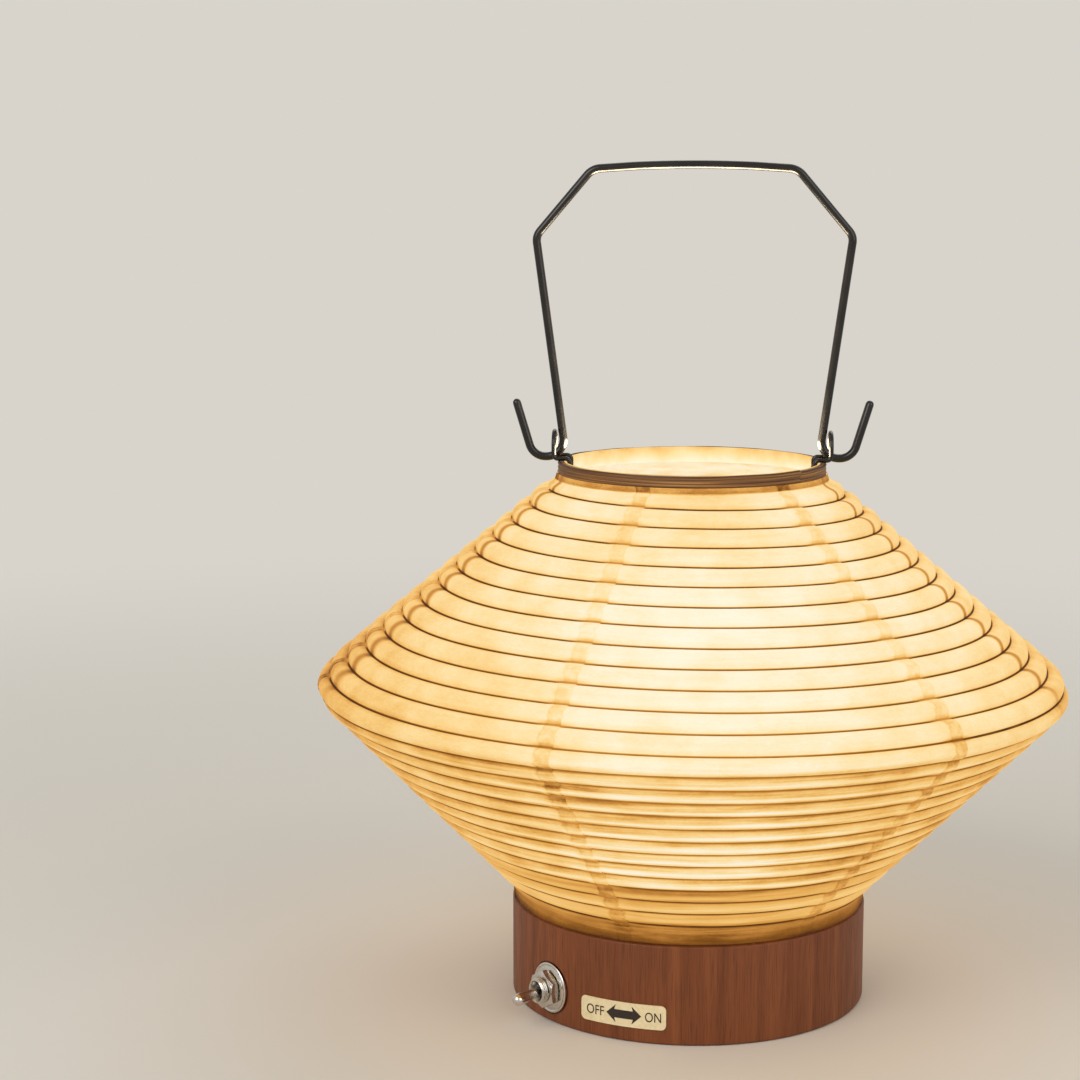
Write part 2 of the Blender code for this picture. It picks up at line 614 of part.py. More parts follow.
def rib_path():
    """Return the rib's centre line: one spiral that keeps just inside the paper."""
    profile = np.array(shade_profile())
    depth = PAPER_THICKNESS + GAP + RIB_RADIUS
    along = np.concatenate(([0.0], np.cumsum(np.linalg.norm(np.diff(profile, axis=0), axis=1))))
    tangent = np.gradient(profile, along, axis=0)
    tangent /= np.linalg.norm(tangent, axis=1)[:, None]
    inner = profile + depth * tangent[:, ::-1] * np.array([1.0, -1.0])
    start = SHADE_TOP - NECK_HEIGHT + RIB_START_BELOW_NECK
    ridge = np.interp(-RIDGE_HEIGHT, -profile[:, 1], along)
    end = along[-1] - (HEM_HEIGHT - HEM_BOTTOM) - RIB_END_ABOVE_HEM
    all_turns = RIB_TURNS_UPPER + RIB_TURNS_LOWER
    points = []
    for index in range(round(all_turns * RIB_POINTS_PER_TURN) + 1):
        turns = index / RIB_POINTS_PER_TURN
        length = np.interp(turns, (0, RIB_TURNS_UPPER, all_turns), (start, ridge, end))
        radius = np.interp(length, along, inner[:, 0])
        height = np.interp(length, along, inner[:, 1])
        azimuth = math.radians(RIB_START_DEG) + math.tau * turns
        points.append((radius * math.sin(azimuth), -radius * math.cos(azimuth), height))
    return points


def least_self_gap(points, radius):
    """Return the least gap of a wound wire to itself, at least half a turn away along it."""
    spots = np.array(points)
    apart = RIB_POINTS_PER_TURN // 2
    gaps = [np.linalg.norm(spots[i + apart:] - spots[i], axis=1).min() for i in range(len(spots) - apart)]
    return min(gaps) - 2 * radius


def shade_parts(paper, bamboo, hoop_wood):
    """Make the six paper panels, the spiral rib and the hoop that the hem is pasted to."""
    profile = shade_profile()
    span = 360.0 / PANEL_COUNT
    for index in range(PANEL_COUNT):
        left = FIRST_SEAM_DEG + index * span + PANEL_GAP_DEG / 2
        panel = turned(f"paper_panel_{index + 1}", profile, PANEL_STEPS,
                       from_deg=left, to_deg=left + span - PANEL_GAP_DEG)
        place(thicken(panel, PAPER_THICKNESS), paper)

    spiral = rib_path()
    gap = least_self_gap(spiral, RIB_RADIUS)
    print(f"rib spiral: {len(spiral)} points, least gap to itself {gap / MM:.2f} mm")
    assert gap > RIB_LEAST_GAP
    place(wire("rib_spiral", spiral, RIB_RADIUS, 1), bamboo)

    hoop = turned("hem_hoop", [
        (HOOP_INNER, HOOP_TOP), (HOOP_OUTER, HOOP_TOP), (HOOP_OUTER, HOOP_BOTTOM), (HOOP_INNER, HOOP_BOTTOM)],
        TURNING_STEPS, closed=True)
    place(hoop, hoop_wood)


def mouth_part(hoop_wood):
    """Make the hoop at the mouth, which slides down the stays as the shade folds."""
    slide = pivot("mouth_slide", None, (0, 0, MOUTH_TOP))
    height = MOUTH_TOP - MOUTH_BOTTOM
    hoop = turned("mouth_hoop", [
        (MOUTH_INNER, 0), (MOUTH_OUTER, 0), (MOUTH_OUTER, -height), (MOUTH_INNER, -height)],
        TURNING_STEPS, closed=True)
    place(hoop, hoop_wood, slide)


def stay_parts(black_wire):
    """Make the two wire hairpins whose eyes stand above the mouth."""
    for name, side in (("stay_left", -1), ("stay_right", 1)):
        half = [(side * STAY_X, STAY_HALF_WIDTH, STAY_FOOT), (side * STAY_X, STAY_HALF_WIDTH, EYE_SHOULDER),
                (side * EYE_X, STAY_HALF_WIDTH, EYE_SHOULDER), (side * EYE_X, STAY_HALF_WIDTH, EYE_TOP)]
        corners = half + [(x, -y, z) for x, y, z in half[::-1]]
        bends = ((STAY_BEND, 2), (STAY_BEND, 2), (EYE_BEND, 5))
        place(wire(name, rounded_path(corners, bends + bends[::-1]), STAY_RADIUS, 1), black_wire)


def bail_part(black_wire):
    """Make the bail, which swings about the line through its two eyes."""
    swing = pivot("bail_pivot", None, (0, 0, BAIL_AXIS_HEIGHT))
    half = [BAIL_TIP, BAIL_HOOK_OUTER, BAIL_HOOK_INNER, BAIL_SHOULDER, BAIL_CORNER]
    bends = ((BAIL_HOOK_BEND, 5), (BAIL_HOOK_BEND, 6), (BAIL_SHOULDER_BEND, 3), (BAIL_CORNER_BEND, 3))
    bow = [(BAIL_CORNER[0] * share, BAIL_TOP - BAIL_TOP_BOW * share ** 2) for share in (0.6, 0.3)]
    side = rounded_path([(x, 0, z) for x, z in half + bow[:1]], bends)
    side += [Vector((x, 0, z)) for x, z in bow[1:]]
    path = side + [Vector((0, 0, BAIL_TOP))] + [Vector((-p.x, 0, p.z)) for p in side[::-1]]
    path = [point - Vector((0, 0, BAIL_AXIS_HEIGHT)) for point in path]
    place(wire("bail", path, BAIL_WIRE_RADIUS), black_wire, swing)


def build():
    """Make the whole lamp."""
    start_scene()
    seat = pivot("switch_seat", None, (0, 0, 0), (0, 0, math.radians(SWITCH_AZIMUTH_DEG)))
    steel = finish("zinc_plated_steel", "#B9BBBE", 0.35, 1.0)
    black_wire = finish("black_lacquered_wire", "#161412", 0.4)
    hoop_wood = finish("stained_veneer", "#6B4324", 0.6)
    base_parts(finish("oiled_cherry", "#8A5030", 0.5), finish("black_fibreboard", "#2B2725", 0.8),
               steel, seat)
    switch_parts(finish("chrome_plate", "#C9C6C2", 0.15, 1.0), finish("phenolic", "#7A2A1C", 0.5),
                 finish("tinned_brass", "#C8C2B0", 0.3, 1.0), seat)
    battery_parts(finish("tray_plastic", "#1E1E20", 0.5), finish("cell_jacket", "#3E4A57", 0.35),
                  finish("nickel_spring", "#B5B0A6", 0.3, 1.0), seat)
    light_parts(finish("white_solder_mask", "#EFEFEA", 0.4), finish("phosphor", "#F2D98A", 0.4),
                finish("opal_plastic", "#F5F1E6", 0.4), steel, seat)
    lead_parts(finish("red_lead", "#B3261E", 0.5), finish("white_lead", "#E6E2D8", 0.5),
               finish("black_lead", "#1B1B1B", 0.5), seat)
    label_part(finish("cream_sticker", "#E9DDBB", 0.5))
    shade_parts(finish("washi_paper", "#F4E3BC", 0.85), finish("split_bamboo", "#5A3A1C", 0.6), hoop_wood)
    mouth_part(hoop_wood)
    stay_parts(black_wire)
    bail_part(black_wire)


build()
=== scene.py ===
"""Looks of a battery table lamp: a lit folding paper lantern on a turned wooden base.

Metres, +Z up. The front of the lamp faces -Y, and an azimuth is counted from the
front, positive to the right.
"""
import math

import bmesh
import bpy
from mathutils import Matrix, Vector, noise


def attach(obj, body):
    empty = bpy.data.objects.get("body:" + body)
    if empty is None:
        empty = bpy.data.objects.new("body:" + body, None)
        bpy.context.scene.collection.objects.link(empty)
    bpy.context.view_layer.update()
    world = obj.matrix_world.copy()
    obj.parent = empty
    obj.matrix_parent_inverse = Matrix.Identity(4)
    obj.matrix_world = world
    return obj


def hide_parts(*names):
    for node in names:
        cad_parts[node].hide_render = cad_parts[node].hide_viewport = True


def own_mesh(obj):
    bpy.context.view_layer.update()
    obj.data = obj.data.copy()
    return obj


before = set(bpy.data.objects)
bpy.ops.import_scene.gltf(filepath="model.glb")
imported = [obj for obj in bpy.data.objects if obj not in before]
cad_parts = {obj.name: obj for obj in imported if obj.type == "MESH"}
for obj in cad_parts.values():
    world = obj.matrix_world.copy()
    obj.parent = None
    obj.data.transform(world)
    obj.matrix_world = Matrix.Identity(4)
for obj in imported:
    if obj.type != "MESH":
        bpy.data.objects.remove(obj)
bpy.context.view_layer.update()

MM = 0.001

# Camera, fitted to the base, the ridge, the mouth and the bail in the photograph
CAMERA_PLACE = (0.0, -0.5614, 0.1954)
CAMERA_PITCH_DEG = 8.49
CAMERA_YAW_DEG = 3.735
CAMERA_LENS_MM = 78.04
CAMERA_SENSOR_MM = 36.0
CAMERA_NEAR = 0.01

# Paper shade, measured on the outside of the paper
SHADE_RADIUS = 90.0 * MM
RIDGE_HEIGHT = 77.6 * MM
RIDGE_ROUND = 4.0 * MM
MOUTH_EDGE = (32.45 * MM, 128.4 * MM)
NECK = (32.9 * MM, 126.9 * MM)
NECK_ROUND = 0.6 * MM
HEM = (43.0 * MM, 27.2 * MM)
HEM_ROUND = 1.5 * MM
HEM_EDGE = (42.9 * MM, 24.2 * MM)
PAPER_THICKNESS = 0.16 * MM
PANEL_COUNT = 6
PANEL_COLUMNS = 49
ROWS_PER_BAND = 10
FIRST_SEAM_DEG = -80.0
LAP_WIDTH = 3.4 * MM
LAP_LIFT = 0.18 * MM
UPPER_PUFF = 1.7 * MM
LOWER_PUFF = 0.85 * MM
NOTCH_DEPTH = 0.8 * MM
CREASE_DEPTH = 0.35 * MM
CREASE_HEIGHT = 3.6 * MM
CREASES_PER_RADIAN = 4.5
SWELL_POWER = 0.8
END_EASE = 5.0 * MM
RIDGE_BLEND = 8.0 * MM
MERGE_DISTANCE = 0.01 * MM
SHEET_SHARP_DEG = 65.0

# Spiral rib, as many turns as the photograph shows
RIB_RADIUS = 0.3 * MM
RIB_PROUD = 0.12 * MM
RIB_START_DEG = -155.0
RIB_FIRST = 1.6 * MM
RIB_TURNS_UPPER = 12.9
RIB_PITCH_LOWER = 5.33 * MM
RIB_FIRST_TURN = 0.2
RIB_TURNS = 25.5
RIB_POINTS_PER_TURN = 144
RIB_WANDER = 0.45 * MM
RIB_THICK_TURN = 12.57
RIB_THICK_REACH = (0.012, 0.04)
RIB_THICK_TIMES = 1.7
RIB_SIDES = 8

# Turns, in radians, of the rings that round off a wire's ends
WIRE_END_TURNS = (0.0, 0.5, 0.9, 1.25, 1.5)


def linear(colour):
    """Turn an sRGB hex colour to linear RGBA."""
    channels = [int(colour[i:i + 2], 16) / 255.0 for i in (1, 3, 5)]
    return (*[c / 12.92 if c <= 0.04045 else ((c + 0.055) / 1.055) ** 2.4 for c in channels], 1.0)


def plug(node, inputs):
    """Feed a node's inputs: each is a value, a socket, or a node whose first live output is taken."""
    for name, value in inputs.items():
        if isinstance(value, bpy.types.Node):
            value = next(socket for socket in value.outputs if socket.enabled)
        if isinstance(value, bpy.types.NodeSocket):
            node.id_data.links.new(value, node.inputs[name])
        else:
            node.inputs[name].default_value = value


def adder(tree):
    """Return the function that adds nodes to a tree."""
    def add(kind, *inputs, stops=(), **settings):
        """Add a node and feed its inputs, in order or by name in one dictionary.

        A kind in capitals is an operation of the Math node, other operations follow a dot, and a kind
        without a family is a shader node. The stops of a ramp, in rising order, are hex colours or levels.
        """
        kind, _, mode = kind.partition(".")
        if kind.isupper():
            kind, mode = 'Math', kind
        if mode:
            settings['interpolation_type' if kind == 'MapRange' else 'operation'] = mode
        node = tree.nodes.new(kind if "Node" in kind else 'ShaderNode' + kind)
        for name, value in settings.items():
            setattr(node, name, value)
        named = inputs and isinstance(inputs[0], dict)
        plug(node, inputs[0] if named else dict(enumerate(inputs)))
        # A ramp starts with two stops, which become the first and the last of these
        for index, (position, value) in enumerate(stops[:1] + stops[:0:-1]):
            elements = node.color_ramp.elements
            element = elements[index] if index < 2 else elements.new(position)
            element.position = position
            element.color = linear(value) if isinstance(value, str) else (value, value, value, 1.0)
        return node
    return add


def in_mm(*points):
    """Return points given in millimetres, in metres."""
    return [tuple(value * MM for value in point) for point in points]


def rounded_path(corners, bends):
    """Return a path whose inner corners are replaced by arcs, each a (radius, steps) pair."""
    corners = [Vector(corner) for corner in corners]
    path = [corners[0]]
    for before, corner, after, (radius, steps) in zip(corners, corners[1:], corners[2:], bends):
        to_before = (before - corner).normalized()
        to_after = (after - corner).normalized()
        half_angle = to_before.angle(to_after) / 2
        middle = corner + (to_before + to_after).normalized() * radius / math.sin(half_angle)
        first = (corner + to_before * radius / math.tan(half_angle) - middle).normalized()
        last = (corner + to_after * radius / math.tan(half_angle) - middle).normalized()
        for step in range(steps + 1):
            path.append(middle + radius * first.slerp(last, step / steps))
    path.append(corners[-1])
    return path


def quarter_round(radius, bottom, top, steps):
    """Return a quarter of an ellipse as (radius, height), from the axis at the top down and out."""
    turns = [math.pi / 2 * step / steps for step in range(steps + 1)]
    return [(radius * math.sin(turn), bottom + (top - bottom) * math.cos(turn)) for turn in turns]


def linked(name, data):
    """Return a new object in the scene."""
    obj = bpy.data.objects.new(name, data)
    bpy.context.scene.collection.objects.link(obj)
    return obj


def meshed(name, shape):
    """Return a new object in the scene made of a finished bmesh, which is freed."""
    mesh = bpy.data.meshes.new(name)
    shape.to_mesh(mesh)
    shape.free()
    return linked(name, mesh)


def settled(name, obj, material=None, sharp_deg=40.0):
    """Turn an object with its modifiers into a plain mesh object with its place in the mesh."""
    depsgraph = bpy.context.evaluated_depsgraph_get()
    made = bpy.data.meshes.new_from_object(obj.evaluated_get(depsgraph), preserve_all_data_layers=True,
                                           depsgraph=depsgraph)
    made.transform(obj.matrix_world)
    made.name = name
    bpy.data.objects.remove(obj, do_unlink=True)
    made.shade_smooth()
    made.set_sharp_from_angle(angle=math.radians(sharp_deg))
    if material:
        made.materials.clear()
        made.materials.append(material)
    return linked(name, made)


def keep_as(piece, body, slot, *replaced):
    """Let a finished piece ride on its body and hide the nodes that it stands for; the slot is not used."""
    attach(piece, body)
    if replaced:
        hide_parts(*replaced)
    return piece


def turned(name, outline, steps, closed=False):
    """Turn an outline of (radius, height) pairs, listed down the outer side; its UVs are in metres."""
    shape = bmesh.new()
    uv_layer = shape.loops.layers.uv.new("UVMap")
    lengths = [0.0]
    for (r0, z0), (r1, z1) in zip(outline, outline[1:]):
        lengths.append(lengths[-1] + math.hypot(r1 - r0, z1 - z0))
    widest = max(radius for radius, _ in outline)
    rings = []
    for radius, height in outline:
        if radius == 0:
            rings.append([shape.verts.new((0, 0, height))] * steps)
            continue
        turns = [math.tau * step / steps for step in range(steps)]
        rings.append([shape.verts.new((radius * math.sin(t), -radius * math.cos(t), height)) for t in turns])
    pairs = list(zip(range(len(outline) - 1), range(1, len(outline))))
    if closed:
        pairs.append((len(outline) - 1, 0))
    for upper, lower in pairs:
        for step in range(steps):
            after = (step + 1) % steps
            corners = [(rings[upper][step], step, upper), (rings[lower][step], step, lower),
                       (rings[lower][after], step + 1, lower), (rings[upper][after], step + 1, upper)]
            kept = [c for i, c in enumerate(corners) if c[0] not in [d[0] for d in corners[:i]]]
            if len(kept) < 3:
                continue
            face = shape.faces.new([vertex for vertex, _, _ in kept])
            face.smooth = True
            for loop, (_, column, row) in zip(face.loops, kept):
                loop[uv_layer].uv = (math.tau * column / steps * widest, lengths[row])
    return meshed(name, shape)


def wire(name, points, radius, sides_step, material):
    """Return a round wire through the points, with domed ends, as a plain mesh."""
    curve = bpy.data.curves.new(name, 'CURVE')
    curve.dimensions = '3D'
    curve.bevel_depth = radius
    curve.bevel_resolution = sides_step
    curve.use_fill_caps = True
    start = (points[0] - points[1]).normalized()
    end = (points[-1] - points[-2]).normalized()
    domes = [(math.sin(turn), math.cos(turn)) for turn in WIRE_END_TURNS]
    path = [(points[0] + start * radius * (out - 1.0), share) for out, share in domes[::-1]]
    path += [(point, 1.0) for point in points[1:-1]]
    path += [(points[-1] + end * radius * (out - 1.0), share) for out, share in domes]
    spline = curve.splines.new('POLY')
    spline.points.add(len(path) - 1)
    for target, (point, share) in zip(spline.points, path):
        target.co = (*point, 1.0)
        target.radius = share
    return settled(name, linked(name, curve), material)


def new_finish(name, colour, roughness, metallic=0.0, specular=0.5):
    """Start a material with its uniform values on the shader's own sockets."""
    material = bpy.data.materials.new(name)
    material.use_nodes = True
    shader = material.node_tree.nodes["Principled BSDF"]
    plug(shader, {"Base Color": linear(colour), "Roughness": roughness, "Metallic": metallic,
                  "Specular IOR Level": specular})
    return material, adder(material.node_tree), shader


def new_tree(name, inputs):
    """Start a Geometry Nodes tree with named inputs; return it, its add function and its input sockets."""
    tree = bpy.data.node_groups.new(name, 'GeometryNodeTree')
    tree.interface.new_socket("Geometry", in_out='INPUT', socket_type='NodeSocketGeometry')
    for label, value in inputs.items():
        kind = 'NodeSocketInt' if isinstance(value, int) else 'NodeSocketFloat'
        tree.interface.new_socket(label, in_out='INPUT', socket_type=kind)
    tree.interface.new_socket("Geometry", in_out='OUTPUT', socket_type='NodeSocketGeometry')
    add = adder(tree)
    return tree, add, add('NodeGroupInput').outputs


def end_tree(add, made, material):
    """Give out what a tree has made, as real geometry in its material."""
    made = add('GeometryNodeRealizeInstances', {"Geometry": made})
    made = add('GeometryNodeSetMaterial', {"Geometry": made, "Material": material})
    add('NodeGroupOutput', made)


def grown(name, host_mesh, tree, values):
    """Run a tree on a host with these values and return the result as a plain mesh object."""
    host = linked(name + "_host", host_mesh)
    modifier = host.modifiers.new("Shape", 'NODES')
    modifier.node_group = tree
    for item in tree.interface.items_tree:
        if item.in_out == 'INPUT' and item.name in values:
            modifier[item.identifier] = values[item.name]
    return settled(name, host, sharp_deg=SHEET_SHARP_DEG)


def thickened(obj, thickness, inside=None):
    """Give a sheet a thickness towards its inner side, which can take a finish of its own."""
    if inside:
        obj.data.materials.append(inside)
    solidify = obj.modifiers.new("Thickness", 'SOLIDIFY')
    solidify.thickness = thickness
    solidify.offset = -1.0
    solidify.material_offset = 1 if inside else 0
    return settled(obj.name, obj, sharp_deg=SHEET_SHARP_DEG)


def shade_outline():
    """Return the outside of the paper as points (radius, 0, height), from the mouth down to the hem."""
    upper = Vector((SHADE_RADIUS - NECK[0], RIDGE_HEIGHT - NECK[1])).normalized()
    lower = Vector((SHADE_RADIUS - HEM[0], RIDGE_HEIGHT - HEM[1])).normalized()
    overshoot = RIDGE_ROUND * (1 / math.sin(upper.angle(lower) / 2) - 1)
    corners = [MOUTH_EDGE, NECK, (SHADE_RADIUS + overshoot, RIDGE_HEIGHT), HEM, HEM_EDGE]
    bends = ((NECK_ROUND, 4), (RIDGE_ROUND, 12), (HEM_ROUND, 6))
    return rounded_path([(radius, 0.0, height) for radius, height in corners], bends)


OUTLINE = shade_outline()
OUTLINE_STEPS = [(b - a).length for a, b in zip(OUTLINE, OUTLINE[1:])]
LENGTH_AT = [sum(OUTLINE_STEPS[:i]) for i in range(len(OUTLINE))]
LENGTH_TOTAL = LENGTH_AT[-1]
LENGTH_NECK = MOUTH_EDGE[1] - NECK[1]
LENGTH_RIDGE = LENGTH_AT[max(range(len(OUTLINE)), key=lambda i: OUTLINE[i].x)]
LENGTH_HEM = LENGTH_TOTAL - (HEM[1] - HEM_EDGE[1])
LENGTH_FIRST_RIB = LENGTH_NECK + RIB_FIRST
RIB_PITCH_UPPER = (LENGTH_RIDGE - LENGTH_FIRST_RIB) / RIB_TURNS_UPPER
FIRST_BAND = -2
BAND_COUNT = 29

SHADE_SIZES = {
    "Rib start": math.radians(RIB_START_DEG), "First rib": LENGTH_FIRST_RIB, "Upper turns": RIB_TURNS_UPPER,
    "Upper pitch": RIB_PITCH_UPPER, "Lower pitch": RIB_PITCH_LOWER, "Wander": RIB_WANDER,
    "Neck": LENGTH_NECK, "Ridge": LENGTH_RIDGE, "Hem": LENGTH_HEM, "Notch": NOTCH_DEPTH}


def along_outline(add, sizes, outline, azimuth, turns):
    """Give the length down the outline after some turns of the rib, with a hand-wound rib's small wander."""
    upper = add('MINIMUM', turns, sizes["Upper turns"])
    below = add('SUBTRACT', turns, upper)
    length = add('MULTIPLY_ADD', upper, sizes["Upper pitch"], sizes["First rib"])
    length = add('MULTIPLY_ADD', below, sizes["Lower pitch"], length)
    spot = add('CombineXYZ', add('SINE', azimuth), add('COSINE', azimuth), turns)
    drift = add('SUBTRACT', add('TexNoise', {"Vector": spot, "Scale": 1.3, "Detail": 1.0}), 0.5)
    length = add('MAXIMUM', add('MULTIPLY_ADD', drift, sizes["Wander"], length), 0.0)
    total = add('GeometryNodeCurveLength', outline)
    return add('MINIMUM', length, total)


def end_ease(add, sizes, length):
    """Give 1 along the shade, easing to 0 where the paper meets the mouth and the hem."""
    below_neck = add('SUBTRACT', length, sizes["Neck"])
    above_hem = add('SUBTRACT', sizes["Hem"], length)
    top, bottom = (add('MapRange.SMOOTHSTEP', gap, 0.0, END_EASE) for gap in (below_neck, above_hem))
    return add('MULTIPLY', top, bottom)


def swung_place(add, sample, azimuth, standoff):
    """Give the place that stands off a sampled point of the outline, swung round to its azimuth."""
    outwards = add('VectorMath.CROSS_PRODUCT', sample.outputs["Tangent"], (0.0, 1.0, 0.0))
    step = add('VectorMath.SCALE', {0: outwards, "Scale": standoff})
    flat = add('VectorMath.ADD', sample.outputs["Position"], step)
    angle = add('SUBTRACT', azimuth, math.pi / 2)
    return add('VectorRotate', {"Vector": flat, "Angle": angle}, rotation_type='Z_AXIS')


def panel_tree(paper, values):
    """Make the tree of one washi panel: rows that follow the rib, swelling between its turns."""
    tree, add, sizes = new_tree("washi_panel", values)
    outline = add('GeometryNodeMeshToCurve', sizes["Geometry"])
    grid = add('GeometryNodeMeshGrid', 1.0, 1.0, sizes["Columns"], sizes["Rows"])
    spot = add('SeparateXYZ', add('GeometryNodeInputPosition'))
    across = add('ADD', spot.outputs["X"], 0.5)
    down = add('SUBTRACT', 0.5, spot.outputs["Y"])
    band = add('MULTIPLY_ADD', down, sizes["Bands"], sizes["First band"])
    middle = add('MULTIPLY_ADD', across, sizes["Span"], sizes["Seam"])
    from_start = add('SUBTRACT', middle, sizes["Rib start"])
    turns = add('MULTIPLY_ADD', from_start, 1.0 / math.tau, band)
    length = along_outline(add, sizes, outline, middle, turns)
    sample = add('GeometryNodeSampleCurve', {"Curves": outline, "Length": length}, mode='LENGTH')
    radius = add('SeparateXYZ', sample.outputs["Position"]).outputs["X"]

    # The panel is wider than its share of the round by one lap, half on each side
    sideways = add('DIVIDE', add('MULTIPLY', spot.outputs["X"], sizes["Lap"]), radius)
    azimuth = add('ADD', middle, sideways)
    width = add('MULTIPLY_ADD', radius, sizes["Span"], sizes["Lap"])
    to_right = add('MULTIPLY', add('SUBTRACT', 1.0, across), width)
    to_left = add('MULTIPLY', across, width)
    edge = add('MINIMUM', to_left, to_right)
    lap_end = add('MULTIPLY', sizes["Lap"], 1.5)
    lift = add('MapRange.SMOOTHSTEP', to_right, sizes["Lap"], lap_end, sizes["Lift"], 0.0)

    # Between two turns of the rib the paper swells outwards, with small creases
    share = add('FRACT', band)
    swell = add('MULTIPLY', share, add('SUBTRACT', 1.0, share))
    swell = add('POWER', add('MULTIPLY', swell, 4.0), SWELL_POWER)
    from_ridge = add('SUBTRACT', length, sizes["Ridge"])
    puff = add('MapRange.SMOOTHSTEP', from_ridge, -RIDGE_BLEND, RIDGE_BLEND, sizes["Upper puff"],
               sizes["Lower puff"])
    around = add('MULTIPLY', azimuth, CREASES_PER_RADIAN)
    below = add('MULTIPLY', length, 1.0 / CREASE_HEIGHT)
    crumple = add('CombineXYZ', around, below, sizes["Seed"])
    crease = add('SUBTRACT', add('TexNoise', {"Vector": crumple, "Scale": 1.0, "Detail": 2.0}), 0.5)
    puff = add('MULTIPLY_ADD', crease, sizes["Crease"], puff)
    swollen = add('SUBTRACT', add('MULTIPLY', puff, swell), sizes["Notch"])
    eased = end_ease(add, sizes, length)
    standoff = add('MULTIPLY_ADD', swollen, eased, lift)
    place = swung_place(add, sample, azimuth, standoff)

    made = grid.outputs["Mesh"]
    marks = {"band": band, "turns": turns, "down": length, "round": azimuth, "edge": edge}
    for label, value in marks.items():
        made = add('GeometryNodeStoreNamedAttribute', {"Geometry": made, "Name": label, "Value": value})
    made = add('GeometryNodeStoreNamedAttribute', {"Geometry": made, "Name": "rest", "Value": place},
               data_type='FLOAT_VECTOR')
    made = add('GeometryNodeSetPosition', {"Geometry": made, "Position": place})
    made = add('GeometryNodeMergeByDistance', {"Geometry": made, "Distance": MERGE_DISTANCE})
    end_tree(add, made, paper)
    return tree


def rib_tree(bamboo, values):
    """Make the tree of the spiral rib, half sunk in the notches of the paper."""
    tree, add, sizes = new_tree("spiral_rib", values)
    outline = add('GeometryNodeMeshToCurve', sizes["Geometry"])
    line = add('GeometryNodeMeshLine', {"Count": sizes["Points"]})
    index = add('GeometryNodeInputIndex')
    turns = add('ADD', add('DIVIDE', index, sizes["Points per turn"]), sizes["First turn"])
    azimuth = add('MULTIPLY_ADD', turns, math.tau, sizes["Rib start"])
    length = along_outline(add, sizes, outline, azimuth, turns)
    sample = add('GeometryNodeSampleCurve', {"Curves": outline, "Length": length}, mode='LENGTH')
    eased = end_ease(add, sizes, length)
    sunk = add('MULTIPLY_ADD', sizes["Notch"], eased, sizes["Sunk"])
    standoff = add('MULTIPLY', sunk, -1.0)
    place = swung_place(add, sample, azimuth, standoff)
    path = add('GeometryNodeMeshToCurve', line)
    path = add('GeometryNodeStoreNamedAttribute', {"Geometry": path, "Name": "turns", "Value": turns})
    path = add('GeometryNodeSetPosition', {"Geometry": path, "Position": place})
    spot = add('MULTIPLY', turns, 7.0)
    uneven = add('TexNoise', {"W": spot, "Scale": 1.0, "Detail": 1.0}, noise_dimensions='1D')
    uneven = add('MapRange', uneven, 0.25, 0.75, 0.8, 1.2)
    # One stretch at the ridge, right of the front, is split thicker than the rest
    from_thick = add('ABSOLUTE', add('SUBTRACT', turns, sizes["Thick at"]))
    swollen = add('MapRange.SMOOTHSTEP', from_thick, *RIB_THICK_REACH, RIB_THICK_TIMES, 1.0)
    uneven = add('MULTIPLY', uneven, swollen)
    section = add('GeometryNodeCurvePrimitiveCircle', {"Resolution": RIB_SIDES,
                                                       "Radius": sizes["Rib radius"]})
    made = add('GeometryNodeCurveToMesh', {"Curve": path, "Profile Curve": section, "Scale": uneven,
                                           "Fill Caps": True})
    end_tree(add, made, bamboo)
    return tree


def make_shade(paper, inside, bamboo):
    """Make the six lapped panels and the rib of the folding shade."""
    outline = bpy.data.meshes.new("shade_outline")
    outline.from_pydata(OUTLINE, [(i, i + 1) for i in range(len(OUTLINE) - 1)], [])
    panel = SHADE_SIZES | {
        "Seam": 0.0, "Span": math.tau / PANEL_COUNT, "Lap": LAP_WIDTH, "Lift": LAP_LIFT,
        "Upper puff": UPPER_PUFF, "Lower puff": LOWER_PUFF, "Crease": CREASE_DEPTH, "Seed": 0.0,
        "First band": float(FIRST_BAND), "Bands": float(BAND_COUNT),
        "Columns": PANEL_COLUMNS, "Rows": BAND_COUNT * ROWS_PER_BAND + 1}
    tree = panel_tree(paper, panel)
    for index in range(PANEL_COUNT):
        panel["Seam"] = math.radians(FIRST_SEAM_DEG) + index * panel["Span"]
        panel["Seed"] = 3.0 + index
        piece = grown(f"washi_panel_{index + 1}", outline, tree, panel)
        piece = thickened(piece, PAPER_THICKNESS, inside)
        fold(keep_as(piece, "base", "washi_paper", f"paper_panel_{index + 1}"))
    rib = SHADE_SIZES | {
        "Points": round((RIB_TURNS - RIB_FIRST_TURN) * RIB_POINTS_PER_TURN) + 1,
        "First turn": RIB_FIRST_TURN, "Points per turn": float(RIB_POINTS_PER_TURN),
        "Rib radius": RIB_RADIUS, "Sunk": RIB_RADIUS - RIB_PROUD, "Thick at": RIB_THICK_TURN}
    piece = grown("spiral_rib", outline, rib_tree(bamboo, rib), rib)
    fold(keep_as(piece, "base", "split_bamboo", "rib_spiral"))


def fold(piece):
    """Give a piece of the shade a mesh of its own."""
    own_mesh(piece)


# Colours of lit paper by its dimness, from full light (0) to the line of the rib (1)
GLOW_WHITE = "#FFF5DC"
GLOW_CREAM = "#FDDFA2"
DIM_COLOURS = ((0.0, GLOW_WHITE), (0.1, "#FEF0CF"), (0.3, GLOW_CREAM), (0.45, "#F8CC7E"),
               (0.6, "#E8AE56"), (0.72, "#C6873A"), (0.86, "#86510F"), (1.0, "#3C1C02"))
